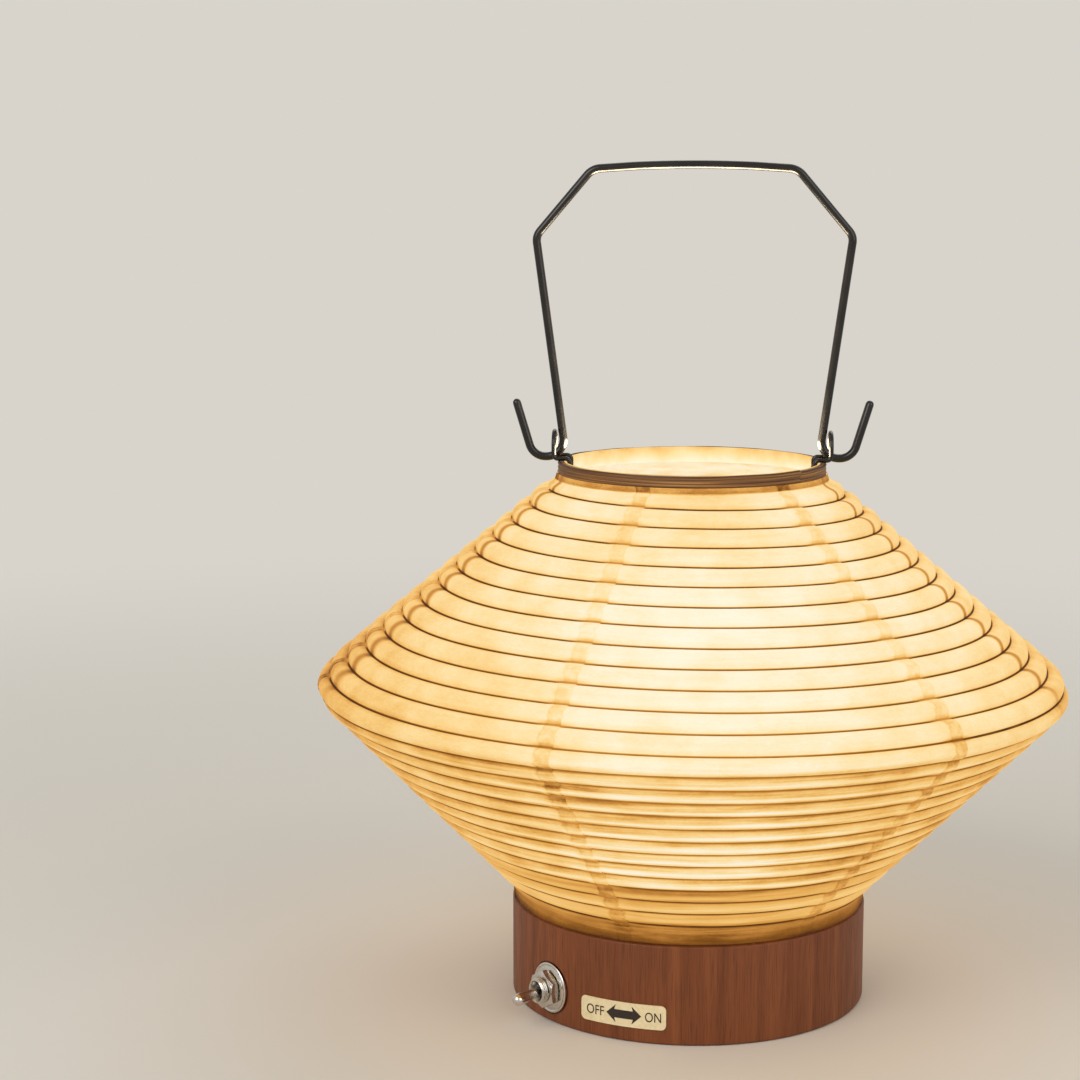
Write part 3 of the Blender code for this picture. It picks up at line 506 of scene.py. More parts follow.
# Dimness down the front of the shade, by share of its length: painted shade where the paper is pasted over
# the mouth hoop, with a painted shadow line under it, brightest level with the light, and painted shade
# again where the paper is pasted over the hem's hoop, deepest at its bottom edge
DIM_DOWN = ((0.0, 0.64), (0.0075, 0.68), (0.009, 0.8), (0.0105, 0.34), (0.05, 0.28), (0.12, 0.25),
            (0.16, 0.17), (0.2, 0.1), (0.26, 0.04), (0.33, 0.07), (0.45, 0.11), (0.5, 0.15), (0.525, 0.1),
            (0.55, 0.16), (0.66, 0.12), (0.72, 0.04), (0.77, 0.0), (0.82, 0.0), (0.85, 0.1), (0.862, 0.56),
            (0.897, 0.55), (0.91, 0.43), (0.95, 0.52), (0.973, 0.72), (0.99, 0.82), (1.0, 0.95))
# More dimness across a band of paper, from the turn of the rib above it to the turn below: painted shade,
# deepest next to the rib
DIM_ACROSS_UPPER = ((0.0, 0.22), (0.1, 0.08), (0.25, 0.0), (0.8, 0.0), (0.92, 0.08), (1.0, 0.22))
DIM_ACROSS_LOWER = ((0.0, 0.5), (0.1, 0.42), (0.22, 0.36), (0.35, 0.2), (0.45, 0.06), (0.52, 0.02),
                    (0.6, 0.12), (0.7, 0.3), (0.8, 0.45), (0.9, 0.52), (1.0, 0.55))
# Dimness at the two sides by share of the length; the light leans a little to the right
DIM_LEFT = ((0.0, 0.2), (0.3, 0.29), (0.48, 0.4), (0.6, 0.4))
DIM_RIGHT = ((0.0, 0.2), (0.12, 0.22), (0.3, 0.17), (0.48, 0.27), (0.6, 0.41))
DIM_LIMB = 0.14
# Dimness of the rib by share of its turns, at the front and at the sides
DIM_RIB_FRONT = ((0.0, 1.0), (0.16, 0.95), (0.33, 0.87), (0.5, 0.8), (0.84, 0.82), (0.9, 0.94),
                 (1.0, 0.97))
DIM_RIB_SIDE = ((0.0, 1.0), (0.5, 1.0), (0.55, 0.97), (1.0, 1.0))
# Dimness of the painted shade where a lap crosses the rib, deeper at the ridge, and in the stays' shadows
DIM_LAP_RIB_SHADE = 0.64
DIM_RIDGE_LAP_RIB_SHADE = 0.84
DIM_STAY = 0.78

# Shares of the finished look that come from light on the paper and from light through it
PAPER_LIT_SHARE = 0.17
PAPER_GLOW_SHARE = 0.85
INSIDE_GLOW_SHARE = 0.74

# Shadows of the stays: where they fall, and how far they blur at the mouth and at the ridge
STAY_SHADOW_DEG = 71.0
STAY_SHADOW_CORE = 0.3 * MM
STAY_SHADOW_BLUR = (1.4 * MM, 3.4 * MM)
STAY_SHADOW_FADE = (LENGTH_RIDGE * 0.9, LENGTH_RIDGE + 4 * MM)
PAST_STAY = (-1.0 * MM, 3.0 * MM)

# Reaches of the rib's lines of painted shade, above and below the ridge, and of the painted shade on the
# laps
PAST_RIDGE = (LENGTH_RIDGE - 2 * MM, LENGTH_RIDGE + 4 * MM)
RIB_LINE_CORE = 0.15 * MM
RIB_LINE_WIDTH = (0.34 * MM, 0.6 * MM)
LAP_WANDER = 3.0 * MM
LAP_SHADE_AT_RIDGE = (3.0 * MM, 26.0 * MM)
LAP_SHADE_AT_MOUTH = (5.0 * MM, 13.0 * MM)
RIDGE_LAP_RIB_SHADE_REACH = (1.5 * MM, 5.0 * MM)
ABOVE_HEM = (LENGTH_HEM - 4 * MM, LENGTH_HEM)

# Sizes of the paper's texture; its streaks are laid out at a middling radius of the shade
MIDDLE_RADIUS = 70.0 * MM
STREAK_LENGTH = 25.0 * MM
STREAK_HEIGHT = 1.3 * MM
CLOUD_SIZE = 9.0 * MM
INSIDE_CLOUD_SIZE = 7.0 * MM
FIBRE_SIZE = 1.6 * MM
LAP_MOTTLE_SIZE = 2.0 * MM
LAP_TORN_EDGE = 0.5 * MM
LAP_RIB_SHADE_HEIGHT = 0.85 * MM
PAPER_ROUGHNESS = 0.85


def lit_through(add, shader, dim, glow_share):
    """Paint a lit piece by its dimness: most of the look is light through it, a little is light on it."""
    paint = add('ValToRGB', dim, stops=DIM_COLOURS)
    lit = add('VectorMath.SCALE', {0: paint, "Scale": PAPER_LIT_SHARE})
    plug(shader, {"Base Color": lit, "Emission Color": paint, "Emission Strength": glow_share})


def dimmed_by_stays(add, dim, sine, sideways, down, rest):
    """Add the stay legs' shadows on the upper flank, blurred towards the ridge and more so on the left."""
    off_leg = add('SUBTRACT', add('ARCSINE', sideways), math.radians(STAY_SHADOW_DEG))
    flat = add('VectorMath.MULTIPLY', rest, (1.0, 1.0, 0.0))
    reach = add('VectorMath.LENGTH', flat).outputs["Value"]
    off_leg = add('MULTIPLY', off_leg, reach)
    past_leg = add('MapRange', off_leg, *PAST_STAY, 0.0, 0.06)
    dim = add('ADD', dim, past_leg)
    off_leg = add('ABSOLUTE', off_leg)
    blur = add('MapRange', down, 0.0, LENGTH_RIDGE, *STAY_SHADOW_BLUR)
    broader = add('MapRange', sine, -0.5, 0.5, 1.4, 0.9)
    blur = add('MULTIPLY', blur, broader)
    shadow = add('MapRange.SMOOTHSTEP', off_leg, STAY_SHADOW_CORE, blur, 1.0, 0.0)
    fading = add('MapRange', down, *STAY_SHADOW_FADE, 0.85, 0.0)
    shadow = add('MULTIPLY', shadow, fading)
    return add('Mix', {0: shadow, 2: dim, 3: DIM_STAY})


def rib_dimness(add, turns, sideways):
    """Give the rib's dimness, darkest near the mouth and at the sides, where less light comes round it."""
    share = add('DIVIDE', turns, RIB_TURNS)
    front = add('ValToRGB', share, stops=DIM_RIB_FRONT)
    side = add('ValToRGB', share, stops=DIM_RIB_SIDE)
    aside = add('MapRange', sideways, 0.2, 0.9)
    return add('Mix', {0: aside, 2: front, 3: side})


def dimmed_by_ribs(add, dim, share, band, turns, past_ridge, sideways, calm):
    """Add the rib's painted shade showing through; return the dimness, how far off the rib is and where
    there is one.
    """
    part = add('FRACT', band)
    near = add('MINIMUM', part, add('SUBTRACT', 1.0, part))
    gap = add('MULTIPLY', near, RIB_PITCH_UPPER)
    begun = add('GREATER_THAN', band, -0.4)
    ended = add('LESS_THAN', turns, RIB_TURNS + 0.2)
    ribbed = add('MULTIPLY', begun, ended)
    upper = add('ValToRGB', part, stops=DIM_ACROSS_UPPER)
    lower = add('MULTIPLY', add('ValToRGB', part, stops=DIM_ACROSS_LOWER), calm)
    across = add('Mix', {0: past_ridge, 2: upper, 3: lower})
    flat_hem = add('MapRange', share, 0.85, 0.87, 1.0, 0.2)
    across = add('MULTIPLY', across, flat_hem)
    dim = add('MULTIPLY_ADD', across, ribbed, dim)
    width = add('MapRange', past_ridge, 0.0, 1.0, *RIB_LINE_WIDTH)
    line = add('MULTIPLY', add('MapRange.SMOOTHSTEP', gap, RIB_LINE_CORE, width, 0.9, 0.0), ribbed)
    deepest = rib_dimness(add, turns, sideways)
    dim = add('Mix', {0: line, 2: dim, 3: deepest})
    return dim, gap, ribbed


def dimmed_by_laps(add, dim, edge, down, rest, gap, ribbed):
    """Add painted shade on the laps of double paper, with torn edges, and browner where they cross the rib.
    """
    mottle = add('TexNoise', {"Vector": rest, "Scale": 1.0 / LAP_MOTTLE_SIZE, "Detail": 5.0})
    wander = add('MULTIPLY_ADD', mottle, LAP_WANDER, -LAP_WANDER / 2)
    torn = add('ADD', edge, wander)
    lap = add('MapRange.SMOOTHSTEP', torn, LAP_WIDTH * 0.9, LAP_WIDTH * 1.1, 1.0, 0.0)
    patchy = add('MapRange', mottle, 0.36, 0.64, 0.06, 0.19)
    # The laps' painted shade is deepest near the mouth and towards the ridge
    from_ridge = add('ABSOLUTE', add('SUBTRACT', down, LENGTH_RIDGE))
    at_ridge = add('MapRange.SMOOTHSTEP', from_ridge, *LAP_SHADE_AT_RIDGE, 1.0, 0.0)
    at_mouth = add('MapRange', down, *LAP_SHADE_AT_MOUTH, 0.6, 0.0)
    paste = add('MAXIMUM', at_ridge, at_mouth)
    thick = add('MapRange', paste, 0.0, 1.0, 0.75, 1.1)
    above_hem = add('MapRange', down, *ABOVE_HEM, 1.0, 0.2)
    thick = add('MULTIPLY', thick, above_hem)
    double = add('MULTIPLY', patchy, lap)
    # The torn edge of the layer below
    rim = add('ABSOLUTE', add('SUBTRACT', torn, LAP_WIDTH))
    rim = add('MapRange', rim, 0.0, LAP_TORN_EDGE, 0.07, 0.0)
    double = add('ADD', double, rim)
    dim = add('MINIMUM', add('MULTIPLY_ADD', double, thick, dim), 1.0)
    # Painted shade where a lap crosses the rib, lens-shaped, longer than the lap is wide and darkest at the
    # ridge
    aside = add('MAXIMUM', add('SUBTRACT', edge, LAP_WIDTH * 0.6), 0.0)
    aside = add('DIVIDE', aside, LAP_WIDTH * 1.5)
    above = add('DIVIDE', gap, LAP_RIB_SHADE_HEIGHT)
    lens = add('VectorMath.LENGTH', add('CombineXYZ', aside, above)).outputs["Value"]
    lap_rib_shade = add('MULTIPLY', add('MapRange', lens, 0.15, 1.0, 0.85, 0.0), ribbed)
    lap_rib_shade = add('MULTIPLY', lap_rib_shade, above_hem)
    ridge_lap_rib_shade = add('MapRange', from_ridge, *RIDGE_LAP_RIB_SHADE_REACH, DIM_RIDGE_LAP_RIB_SHADE, DIM_LAP_RIB_SHADE)
    return add('Mix', {0: lap_rib_shade, 2: dim, 3: ridge_lap_rib_shade})


def lit_washi():
    """Handmade kozo paper, pasted on and lit from inside.

    It gives the eye a warm glow with soft clouds and long fibres, brown lines of painted shade over the rib,
    yellower laps of double paper painted dimmer, and the painted, blurred shadows of the stays.
    """
    material, add, shader = new_finish("lit_washi", GLOW_CREAM, PAPER_ROUGHNESS, specular=0.3)
    band, turns, down, azimuth, edge = (add('Attribute', attribute_name=label).outputs["Fac"]
                                        for label in ("band", "turns", "down", "round", "edge"))
    rest = add('Attribute', attribute_name="rest").outputs["Vector"]
    past_ridge = add('MapRange.SMOOTHSTEP', down, *PAST_RIDGE)
    share = add('DIVIDE', down, LENGTH_TOTAL)
    dim = add('ValToRGB', share, stops=DIM_DOWN)

    # The light is strongest at the front and the back; the stays stand at the sides
    sine = add('SINE', azimuth)
    sideways = add('ABSOLUTE', sine)
    left = add('ValToRGB', share, stops=DIM_LEFT)
    right = add('ValToRGB', share, stops=DIM_RIGHT)
    rightwards = add('MapRange', sine, -0.3, 0.3)
    side = add('Mix', {0: rightwards, 2: left, 3: right})
    limb = add('MapRange', sideways, 0.7, 1.0, 0.0, DIM_LIMB)
    side = add('ADD', side, limb)
    aside = add('MapRange.SMOOTHSTEP', sideways, 0.1, 0.7)
    off_hem = add('MapRange', share, 0.845, 0.865, 1.0, 0.0)
    off_mouth = add('MapRange', share, 0.009, 0.011)
    aside = add('MULTIPLY', add('MULTIPLY', aside, off_hem), off_mouth)
    dim = add('Mix', {0: aside, 2: dim, 3: side})

    # Streaks of painted light and shade from the crumpled paper, stronger below the ridge
    around = add('MULTIPLY', azimuth, MIDDLE_RADIUS / STREAK_LENGTH)
    below = add('MULTIPLY', down, 1.0 / STREAK_HEIGHT)
    streak_at = add('CombineXYZ', around, below)
    streak = add('TexNoise', {"Vector": streak_at, "Scale": 1.0, "Detail": 4.0, "Distortion": 0.3})
    streak = add('MapRange.SMOOTHSTEP', streak, 0.35, 0.7, -0.45, 0.55)
    stronger = add('MapRange', past_ridge, 0.0, 1.0, 0.05, 0.26)
    calm = add('MapRange', sideways, 0.25, 0.75, 1.0, 0.35)
    stronger = add('MULTIPLY', stronger, calm)
    texture = add('MULTIPLY', streak, stronger)

    # Soft clouds of thicker pulp, and fibres drawn about 0.5 mm wide so that they show
    cloud = add('TexNoise', {"Vector": rest, "Scale": 1.0 / CLOUD_SIZE, "Detail": 4.0})
    cloud = add('MapRange', cloud, 0.35, 0.75, -0.06, 0.08)
    texture = add('ADD', texture, cloud)
    stretch = add('VectorMath.MULTIPLY', rest, (1.0, 1.0, 3.0))
    fibre = add('TexNoise', {"Vector": stretch, "Scale": 1.0 / FIBRE_SIZE, "Detail": 5.0, "Distortion": 1.2})
    thin = add('MapRange', fibre, 0.3, 0.7, 0.05, -0.03)
    texture = add('ADD', texture, thin)
    # The doubled hem is smoother
    calmer = add('MapRange', off_hem, 0.0, 1.0, 0.35, 1.0)
    dim = add('MULTIPLY_ADD', texture, calmer, dim)

    dim = dimmed_by_stays(add, dim, sine, sideways, down, rest)
    dim, gap, ribbed = dimmed_by_ribs(add, dim, share, band, turns, past_ridge, sideways, calm)
    dim = dimmed_by_laps(add, dim, edge, down, rest, gap, ribbed)
    lit_through(add, shader, dim, PAPER_GLOW_SHARE)
    plug(shader, {"Normal": add('Bump', {"Strength": 0.25, "Distance": 0.1 * MM, "Height": fibre})})
    return material


def washi_inside():
    """The inner side of the paper, flooded by the light: bright ivory with cream clouds and streaks."""
    material, add, shader = new_finish("washi_inside", GLOW_WHITE, PAPER_ROUGHNESS)
    rest = add('Attribute', attribute_name="rest").outputs["Vector"]
    stretch = add('VectorMath.MULTIPLY', rest, (1.0, 1.0, 4.0))
    cloud = add('TexNoise', {"Vector": stretch, "Scale": 1.0 / INSIDE_CLOUD_SIZE, "Detail": 4.0})
    dim = add('MapRange', cloud, 0.35, 0.7, 0.02, 0.28)
    lit_through(add, shader, dim, INSIDE_GLOW_SHARE)
    return material


def pasted_bamboo():
    """Split bamboo drawn to a thin round rib, under the pasted paper: it shows as a glowing brown line.

    It is browner at the sides and above the ridge, where less light comes round it, with streaks along it.
    """
    material, add, shader = new_finish("pasted_bamboo", "#8F5A22", 0.7, specular=0.2)
    turns = add('Attribute', attribute_name="turns").outputs["Fac"]
    azimuth = add('MULTIPLY_ADD', turns, math.tau, math.radians(RIB_START_DEG))
    sideways = add('ABSOLUTE', add('SINE', azimuth))
    dim = rib_dimness(add, turns, sideways)
    along = add('MULTIPLY', turns, 60.0)
    streak = add('TexNoise', {"W": along, "Scale": 1.0, "Detail": 3.0}, noise_dimensions='1D')
    streak = add('MapRange', streak, 0.3, 0.75, 0.05, -0.07)
    dim = add('ADD', dim, streak)
    lit_through(add, shader, dim, PAPER_GLOW_SHARE)
    return material


# Wooden base
BASE_RADIUS = 43.2 * MM
BASE_HEIGHT = 23.8 * MM
BASE_EDGE = 0.5 * MM
BASE_FOOT_ROUND = 0.8 * MM
SPIGOT_RADIUS = 38.8 * MM
SPIGOT_TOP = 27.3 * MM
CAVITY_RADIUS = 35.0 * MM
CAVITY_CEILING = 18.0 * MM
REBATE_RADIUS = 39.3 * MM
LEDGE_HEIGHT = 3.7 * MM
POCKET_SIZE = (14.6 * MM, 13.5 * MM, 11.35 * MM)
POCKET_MIDDLE = (0.0, -31.25 * MM, 7.525 * MM)
LEAD_HOLE_REACH = 20.6 * MM
LEAD_HOLE_RADIUS = 2.2 * MM
STAY_SOCKET_RADIUS = 0.9 * MM
STAY_SOCKET_BOTTOM = 19.5 * MM
OVERCUT = 1.0 * MM
TURNING_STEPS = 192
HOLE_STEPS = 32
SOCKET_STEPS = 24

# Toggle switch on its own radial axis; each reach is a distance from the lamp's axis
SWITCH_AZIMUTH = math.radians(-48.5)
SWITCH_HEIGHT = 8.4 * MM
LEVER_PIVOT_REACH = 44.5 * MM
LEVER_LEAN = math.radians(13.0)
SPOT_FACE_REACH = 42.6 * MM
SPOT_FACE_RADIUS = 6.4 * MM
BUSH_HOLE_RADIUS = 3.3 * MM
SWITCH_STEPS = 64
BUSH_OUTLINE = in_mm((2.55, 47.6), (2.75, 47.4), (2.78, 45.6), (3.0, 45.6), (3.0, 37.7), (3.9, 37.7),
                     (3.9, 36.9), (1.8, 36.9), (1.8, 44.5), (2.4, 47.4))
WASHER_OUTLINE = in_mm((3.3, 43.6), (5.0, 43.6), (5.2, 43.45), (5.45, 43.45), (5.65, 43.6), (5.85, 43.55),
                       (6.0, 43.4), (6.0, 42.95), (5.95, 42.9), (3.3, 42.9))
NUT_OUTLINE = in_mm((3.05, 45.9), (4.0, 45.9), (4.75, 45.45), (4.75, 44.35), (4.0, 43.9), (3.05, 43.9))
NUT_ACROSS_FLATS = 8.0 * MM
LEVER_OUTLINE = in_mm((1.44, 9.6), (1.38, 8.4), (1.22, 6.0), (1.05, 3.6), (0.95, 2.0), (1.1, 1.3),
                      (1.3, 0.7))
LEVER_TIP = (1.45 * MM, 10.2 * MM, 11.6 * MM)
LEVER_BALL = 1.35 * MM
THREAD_SIZES = {"Turns": 3.4, "Radius": 2.8 * MM, "Height": 1.5 * MM, "Ridge": 0.2 * MM}
THREAD_REACH = 45.85 * MM

# Wire stays and bail
STAY_RADIUS = 0.55 * MM
STAY_X = 29.3 * MM
STAY_HALF_WIDTH = 4.0 * MM
STAY_FOOT = 20.3 * MM
EYE_X = 33.1 * MM
EYE_SHOULDER = 131.8 * MM
EYE_TOP = 138.0 * MM
STAY_BENDS = ((1.0 * MM, 6), (1.0 * MM, 6), (3.4 * MM, 12))
BAIL_RADIUS = 1.0 * MM
BAIL_TOP = 201.5 * MM
BAIL_TOP_BOW = 1.0 * MM
BAIL_BOW_STEPS = 10
BAIL_BOW_FROM = 4
BAIL_HALF = in_mm((42.5, 0, 145.8), (38.3, 0, 131.9), (30.4, 0, 131.9), (37.6, 0, 184.7), (24.2, 0, 200.5))
BAIL_BENDS = ((4.0 * MM, 14), (4.0 * MM, 16), (3.5 * MM, 10), (4.5 * MM, 10))

# Mouth hoop, a thin veneer wound round an inner ring, and its paper lining
HOOP_INNER = 30.75 * MM
HOOP_MIDDLE = 31.75 * MM
HOOP_TOP = 131.1 * MM
HOOP_BOTTOM = 127.3 * MM
HOOP_HEIGHT = HOOP_TOP - HOOP_BOTTOM
VENEER_END_DEG = 43.0
VENEER_TURN_DEG = 368.0
VENEER_THICKNESS = 0.22 * MM
VENEER_STRANDS = 4
STRAND_STEPS = 6
STRAND_BULGE = 0.14 * MM
VENEER_COLUMNS = 220
VENEER_LAYER = 0.24 * MM
VENEER_WAVE = 0.16 * MM
VENEER_LOOSE_END = 0.3 * MM
VENEER_RAGGED_END = 0.9 * MM
VENEER_DENTS = 0.06 * MM
VENEER_LENGTH = 200.0 * MM
RING_TOP = HOOP_TOP - 0.1 * MM
LINING_OUTER = HOOP_INNER - 0.02 * MM
LINING_INNER = HOOP_INNER - 0.14 * MM
LINING_TOP = HOOP_TOP + 0.08 * MM

# Label on the front of the base
LABEL_RADIUS = 43.5 * MM
LABEL_MIDDLE_DEG = -20.3
LABEL_WIDTH = 21.4 * MM
LABEL_BOTTOM = 3.7 * MM
LABEL_TOP = 9.5 * MM
LABEL_CORNER = 1.2 * MM
LABEL_THICKNESS = 0.2 * MM
LABEL_STEPS = 36
LABEL_CORNER_STEPS = 6
INK_GAP = 0.01 * MM
INK_THICKNESS = 0.04 * MM
CAP_HEIGHT = 2.3 * MM
OFF_SPAN = (-9.1 * MM, -4.45 * MM)
ARROW_SPAN = (-3.8 * MM, 4.85 * MM)
ON_SPAN = (5.75 * MM, 9.55 * MM)

# Light source
DOME_RADIUS = 23.6 * MM
DOME_WALL = 1.3 * MM
DOME_SPRING = 38.0 * MM
DOME_TOP = 58.0 * MM
DOME_BOTTOM = 27.6 * MM


def block(name, size, middle, place):
    """Return a box of some size about its middle, which lies in its place."""
    shape = bmesh.new()
    bmesh.ops.create_cube(shape, size=1.0, matrix=Matrix.Translation(middle) @ Matrix.Diagonal((*size, 1.0)))
    made = meshed(name, shape)
    made.data.transform(place)
    return made


def rod(name, radius, bottom, top, steps, place):
    """Return a closed cylinder along the Z axis of its place."""
    made = turned(name, [(0, top), (radius, top), (radius, bottom), (0, bottom)], steps)
    made.data.transform(place)
    return made


def turned_piece(name, outline, finish, kept_as, closed=True, steps=TURNING_STEPS, place=Matrix(),
                 sharp_deg=40.0):
    """Turn a piece, lay it in its place and keep it."""
    made = turned(name, outline, steps, closed)
    made.data.transform(place)
    keep_as(settled(name, made, finish, sharp_deg), *kept_as)


def cut(obj, cutters, finish, operation='DIFFERENCE'):
    """Cut a piece with other meshes, or keep what it shares with one, and drop these."""
    for cutter in cutters:
        boolean = obj.modifiers.new("Cut", 'BOOLEAN')
        boolean.operation = operation
        boolean.object = cutter
        boolean.solver = 'EXACT'
    piece = settled(obj.name, obj, finish)
    for cutter in cutters:
        bpy.data.objects.remove(cutter, do_unlink=True)
    return piece


def switch_axis(lean=0.0, reach=0.0):
    """Return the place that lays Z along the switch's axis, leaning about a pivot at some reach."""
    return (Matrix.Rotation(SWITCH_AZIMUTH, 4, 'Z') @ Matrix.Translation((0, -reach, SWITCH_HEIGHT))
            @ Matrix.Rotation(lean, 4, 'Z') @ Matrix.Rotation(math.pi / 2, 4, 'X'))


def oiled_cherry():
    """Cherry turned on a lathe with its grain upright, stained and oiled.

    It gives the eye a reddish brown with fine upright pores and broader darker streaks, and a low sheen.
    """
    material, add, shader = new_finish("oiled_cherry", "#784120", 0.5, specular=0.3)
    place = add('TexCoord').outputs["Object"]
    # Growth bands about 3 mm wide that run far along the grain
    long = add('Mapping', {"Vector": place, "Scale": (330.0, 330.0, 14.0)})
    growth = add('TexNoise', {"Vector": long, "Scale": 1.0, "Detail": 3.0, "Distortion": 0.4})
    wood = add('ValToRGB', growth, stops=((0.3, "#6C391B"), (0.5, "#794222"), (0.72, "#864C29")))
    # Pores, drawn 0.25 mm wide so that they show, about 8 mm long
    fine = add('Mapping', {"Vector": place, "Scale": (4000.0, 4000.0, 125.0)})
    pore = add('TexNoise', {"Vector": fine, "Scale": 1.0, "Detail": 2.0})
    dark = add('MapRange', pore, 0.48, 0.72, 0.0, 0.5)
    wood = add('Mix', {0: dark, 6: wood, 7: linear("#3E1D0D")}, data_type='RGBA')
    sheen = add('MapRange', pore, 0.3, 0.7, 0.42, 0.6)
    relief = add('Bump', {"Strength": 0.35, "Distance": 0.06 * MM, "Height": pore}, invert=True)
    plug(shader, {"Base Color": wood, "Roughness": sheen, "Normal": relief})
    return material


def stained_veneer():
    """Thin wood veneer wound into a hoop and stained: dark brown, with fine streaks along its length."""
    material, add, shader = new_finish("stained_veneer", "#6B3F1A", 0.6)
    uv = add('UVMap', uv_map="UVMap")
    # Streaks about 0.35 mm high and 30 mm long
    level = add('Mapping', {"Vector": uv, "Scale": (33.0, 2900.0, 1.0)})
    streak = add('TexNoise', {"Vector": level, "Scale": 1.0, "Detail": 4.0, "Distortion": 0.2})
    # The winding's edges are darker: one line to each strand, and the top edge
    height = add('SeparateXYZ', uv).outputs["Y"]
    strand = add('FRACT', add('MULTIPLY', height, VENEER_STRANDS / HOOP_HEIGHT))
    seam = add('MapRange', strand, 0.0, 0.22, -0.2, 0.0)
    top = add('MapRange', height, HOOP_HEIGHT - 0.6 * MM, HOOP_HEIGHT - 0.2 * MM, 0.0, -0.2)
    streaks_and_edges = add('ADD', add('ADD', streak, seam), top)
    brown = add('ValToRGB', streaks_and_edges, stops=(
        (0.25, "#3A1F04"), (0.4, "#5C3610"), (0.52, "#7E5222"), (0.66, "#A87A3E")))
    relief = add('Bump', {"Strength": 0.5, "Distance": 0.08 * MM, "Height": streaks_and_edges})
    plug(shader, {"Base Color": brown, "Normal": relief})
    return material


def lining_paper():
    """Paper tape pasted inside the hoop, lit from below: cream, mottled orange where the paste is thick."""
    material, add, shader = new_finish("lining_paper", GLOW_CREAM, PAPER_ROUGHNESS)
    place = add('TexCoord').outputs["Object"]
    cloud = add('TexNoise', {"Vector": place, "Scale": 1.0 / (6.0 * MM), "Detail": 3.0})
    cloud = add('MapRange', cloud, 0.3, 0.7, -0.1, 0.1)
    height = add('SeparateXYZ', place).outputs["Z"]
    dim = add('ADD', add('MapRange', height, HOOP_BOTTOM, HOOP_TOP, 0.1, 0.46), cloud)
    lit_through(add, shader, dim, PAPER_GLOW_SHARE)
    return material


def black_lacquer():
    """Mild steel wire, bent cold and dipped in black lacquer: near black, smooth, with a soft gloss."""
    material, add, shader = new_finish("black_lacquer", "#0D0A08", 0.3, specular=0.45)
    place = add('TexCoord').outputs["Object"]
    flow = add('TexNoise', {"Vector": place, "Scale": 1.0 / (6.0 * MM), "Detail": 1.0})
    coat = add('ValToRGB', flow, stops=((0.3, "#090706"), (0.75, "#14100C")))
    gloss = add('MapRange', flow, 0.3, 0.7, 0.2, 0.26)
    relief = add('Bump', {"Strength": 0.03, "Distance": 0.05 * MM, "Height": flow})
    plug(shader, {"Base Color": coat, "Roughness": gloss, "Normal": relief})
    return material


def chrome_plate():
    """Turned brass with bright nickel and chrome plate: a mirror with a little uneven haze."""
    material, add, shader = new_finish("chrome_plate", "#CFCBC5", 0.16, 1.0)
    place = add('TexCoord').outputs["Object"]
    haze = add('TexNoise', {"Vector": place, "Scale": 1.0 / (0.8 * MM), "Detail": 4.0})
    rough = add('MapRange', haze, 0.3, 0.7, 0.12, 0.26)
    tint = add('ValToRGB', haze, stops=((0.3, "#C6C1BA"), (0.7, "#D6D3CE")))
    plug(shader, {"Base Color": tint, "Roughness": rough})
    return material


def cream_sticker():
    """Coated paper label: cream and satin, slightly yellowed in specks, with a faint paper tooth."""
    material, add, shader = new_finish("cream_sticker", "#E6D6AC", 0.5)
    place = add('TexCoord').outputs["Object"]
    tooth = add('TexNoise', {"Vector": place, "Scale": 1.0 / (0.9 * MM), "Detail": 4.0})
    tint = add('ValToRGB', tooth, stops=((0.3, "#DECB9C"), (0.7, "#EADCB6")))
    relief = add('Bump', {"Strength": 0.1, "Distance": 0.03 * MM, "Height": tooth})
    plug(shader, {"Base Color": tint, "Normal": relief})
    return material


def opal_plastic():
    """Opal acrylic dome over the light, moulded: milky, glowing warm and strongest at its crown."""
    material, add, shader = new_finish("opal_plastic", "#E9DEC4", 0.4)
    place = add('TexCoord').outputs["Object"]
    height = add('SeparateXYZ', place).outputs["Z"]
    crown = add('MapRange', height, DOME_BOTTOM, DOME_TOP)
    glow = add('ValToRGB', crown, stops=((0.0, GLOW_CREAM), (0.7, GLOW_WHITE)))
    lit = add('VectorMath.SCALE', {0: glow, "Scale": 0.3})
    plug(shader, {"Base Color": lit, "Emission Color": glow, "Emission Strength": 0.7})
    return material


def grained(name, colours, grain, roughness, metallic=0.0, relief=0.2):
    """Return a finish with a grain of some size: two colours, an uneven roughness and a small relief."""
    material, add, shader = new_finish(name, colours[0], roughness, metallic)
    place = add('TexCoord').outputs["Object"]
    speck = add('TexNoise', {"Vector": place, "Scale": 1.0 / grain, "Detail": 3.0})
    tint = add('ValToRGB', speck, stops=((0.35, colours[0]), (0.65, colours[1])))
    dull = add('MapRange', speck, 0.3, 0.7, roughness * 0.85, roughness * 1.15)
    bump = add('Bump', {"Strength": relief, "Distance": grain * 0.1, "Height": speck})
    plug(shader, {"Base Color": tint, "Roughness": dull, "Normal": bump})
    return material


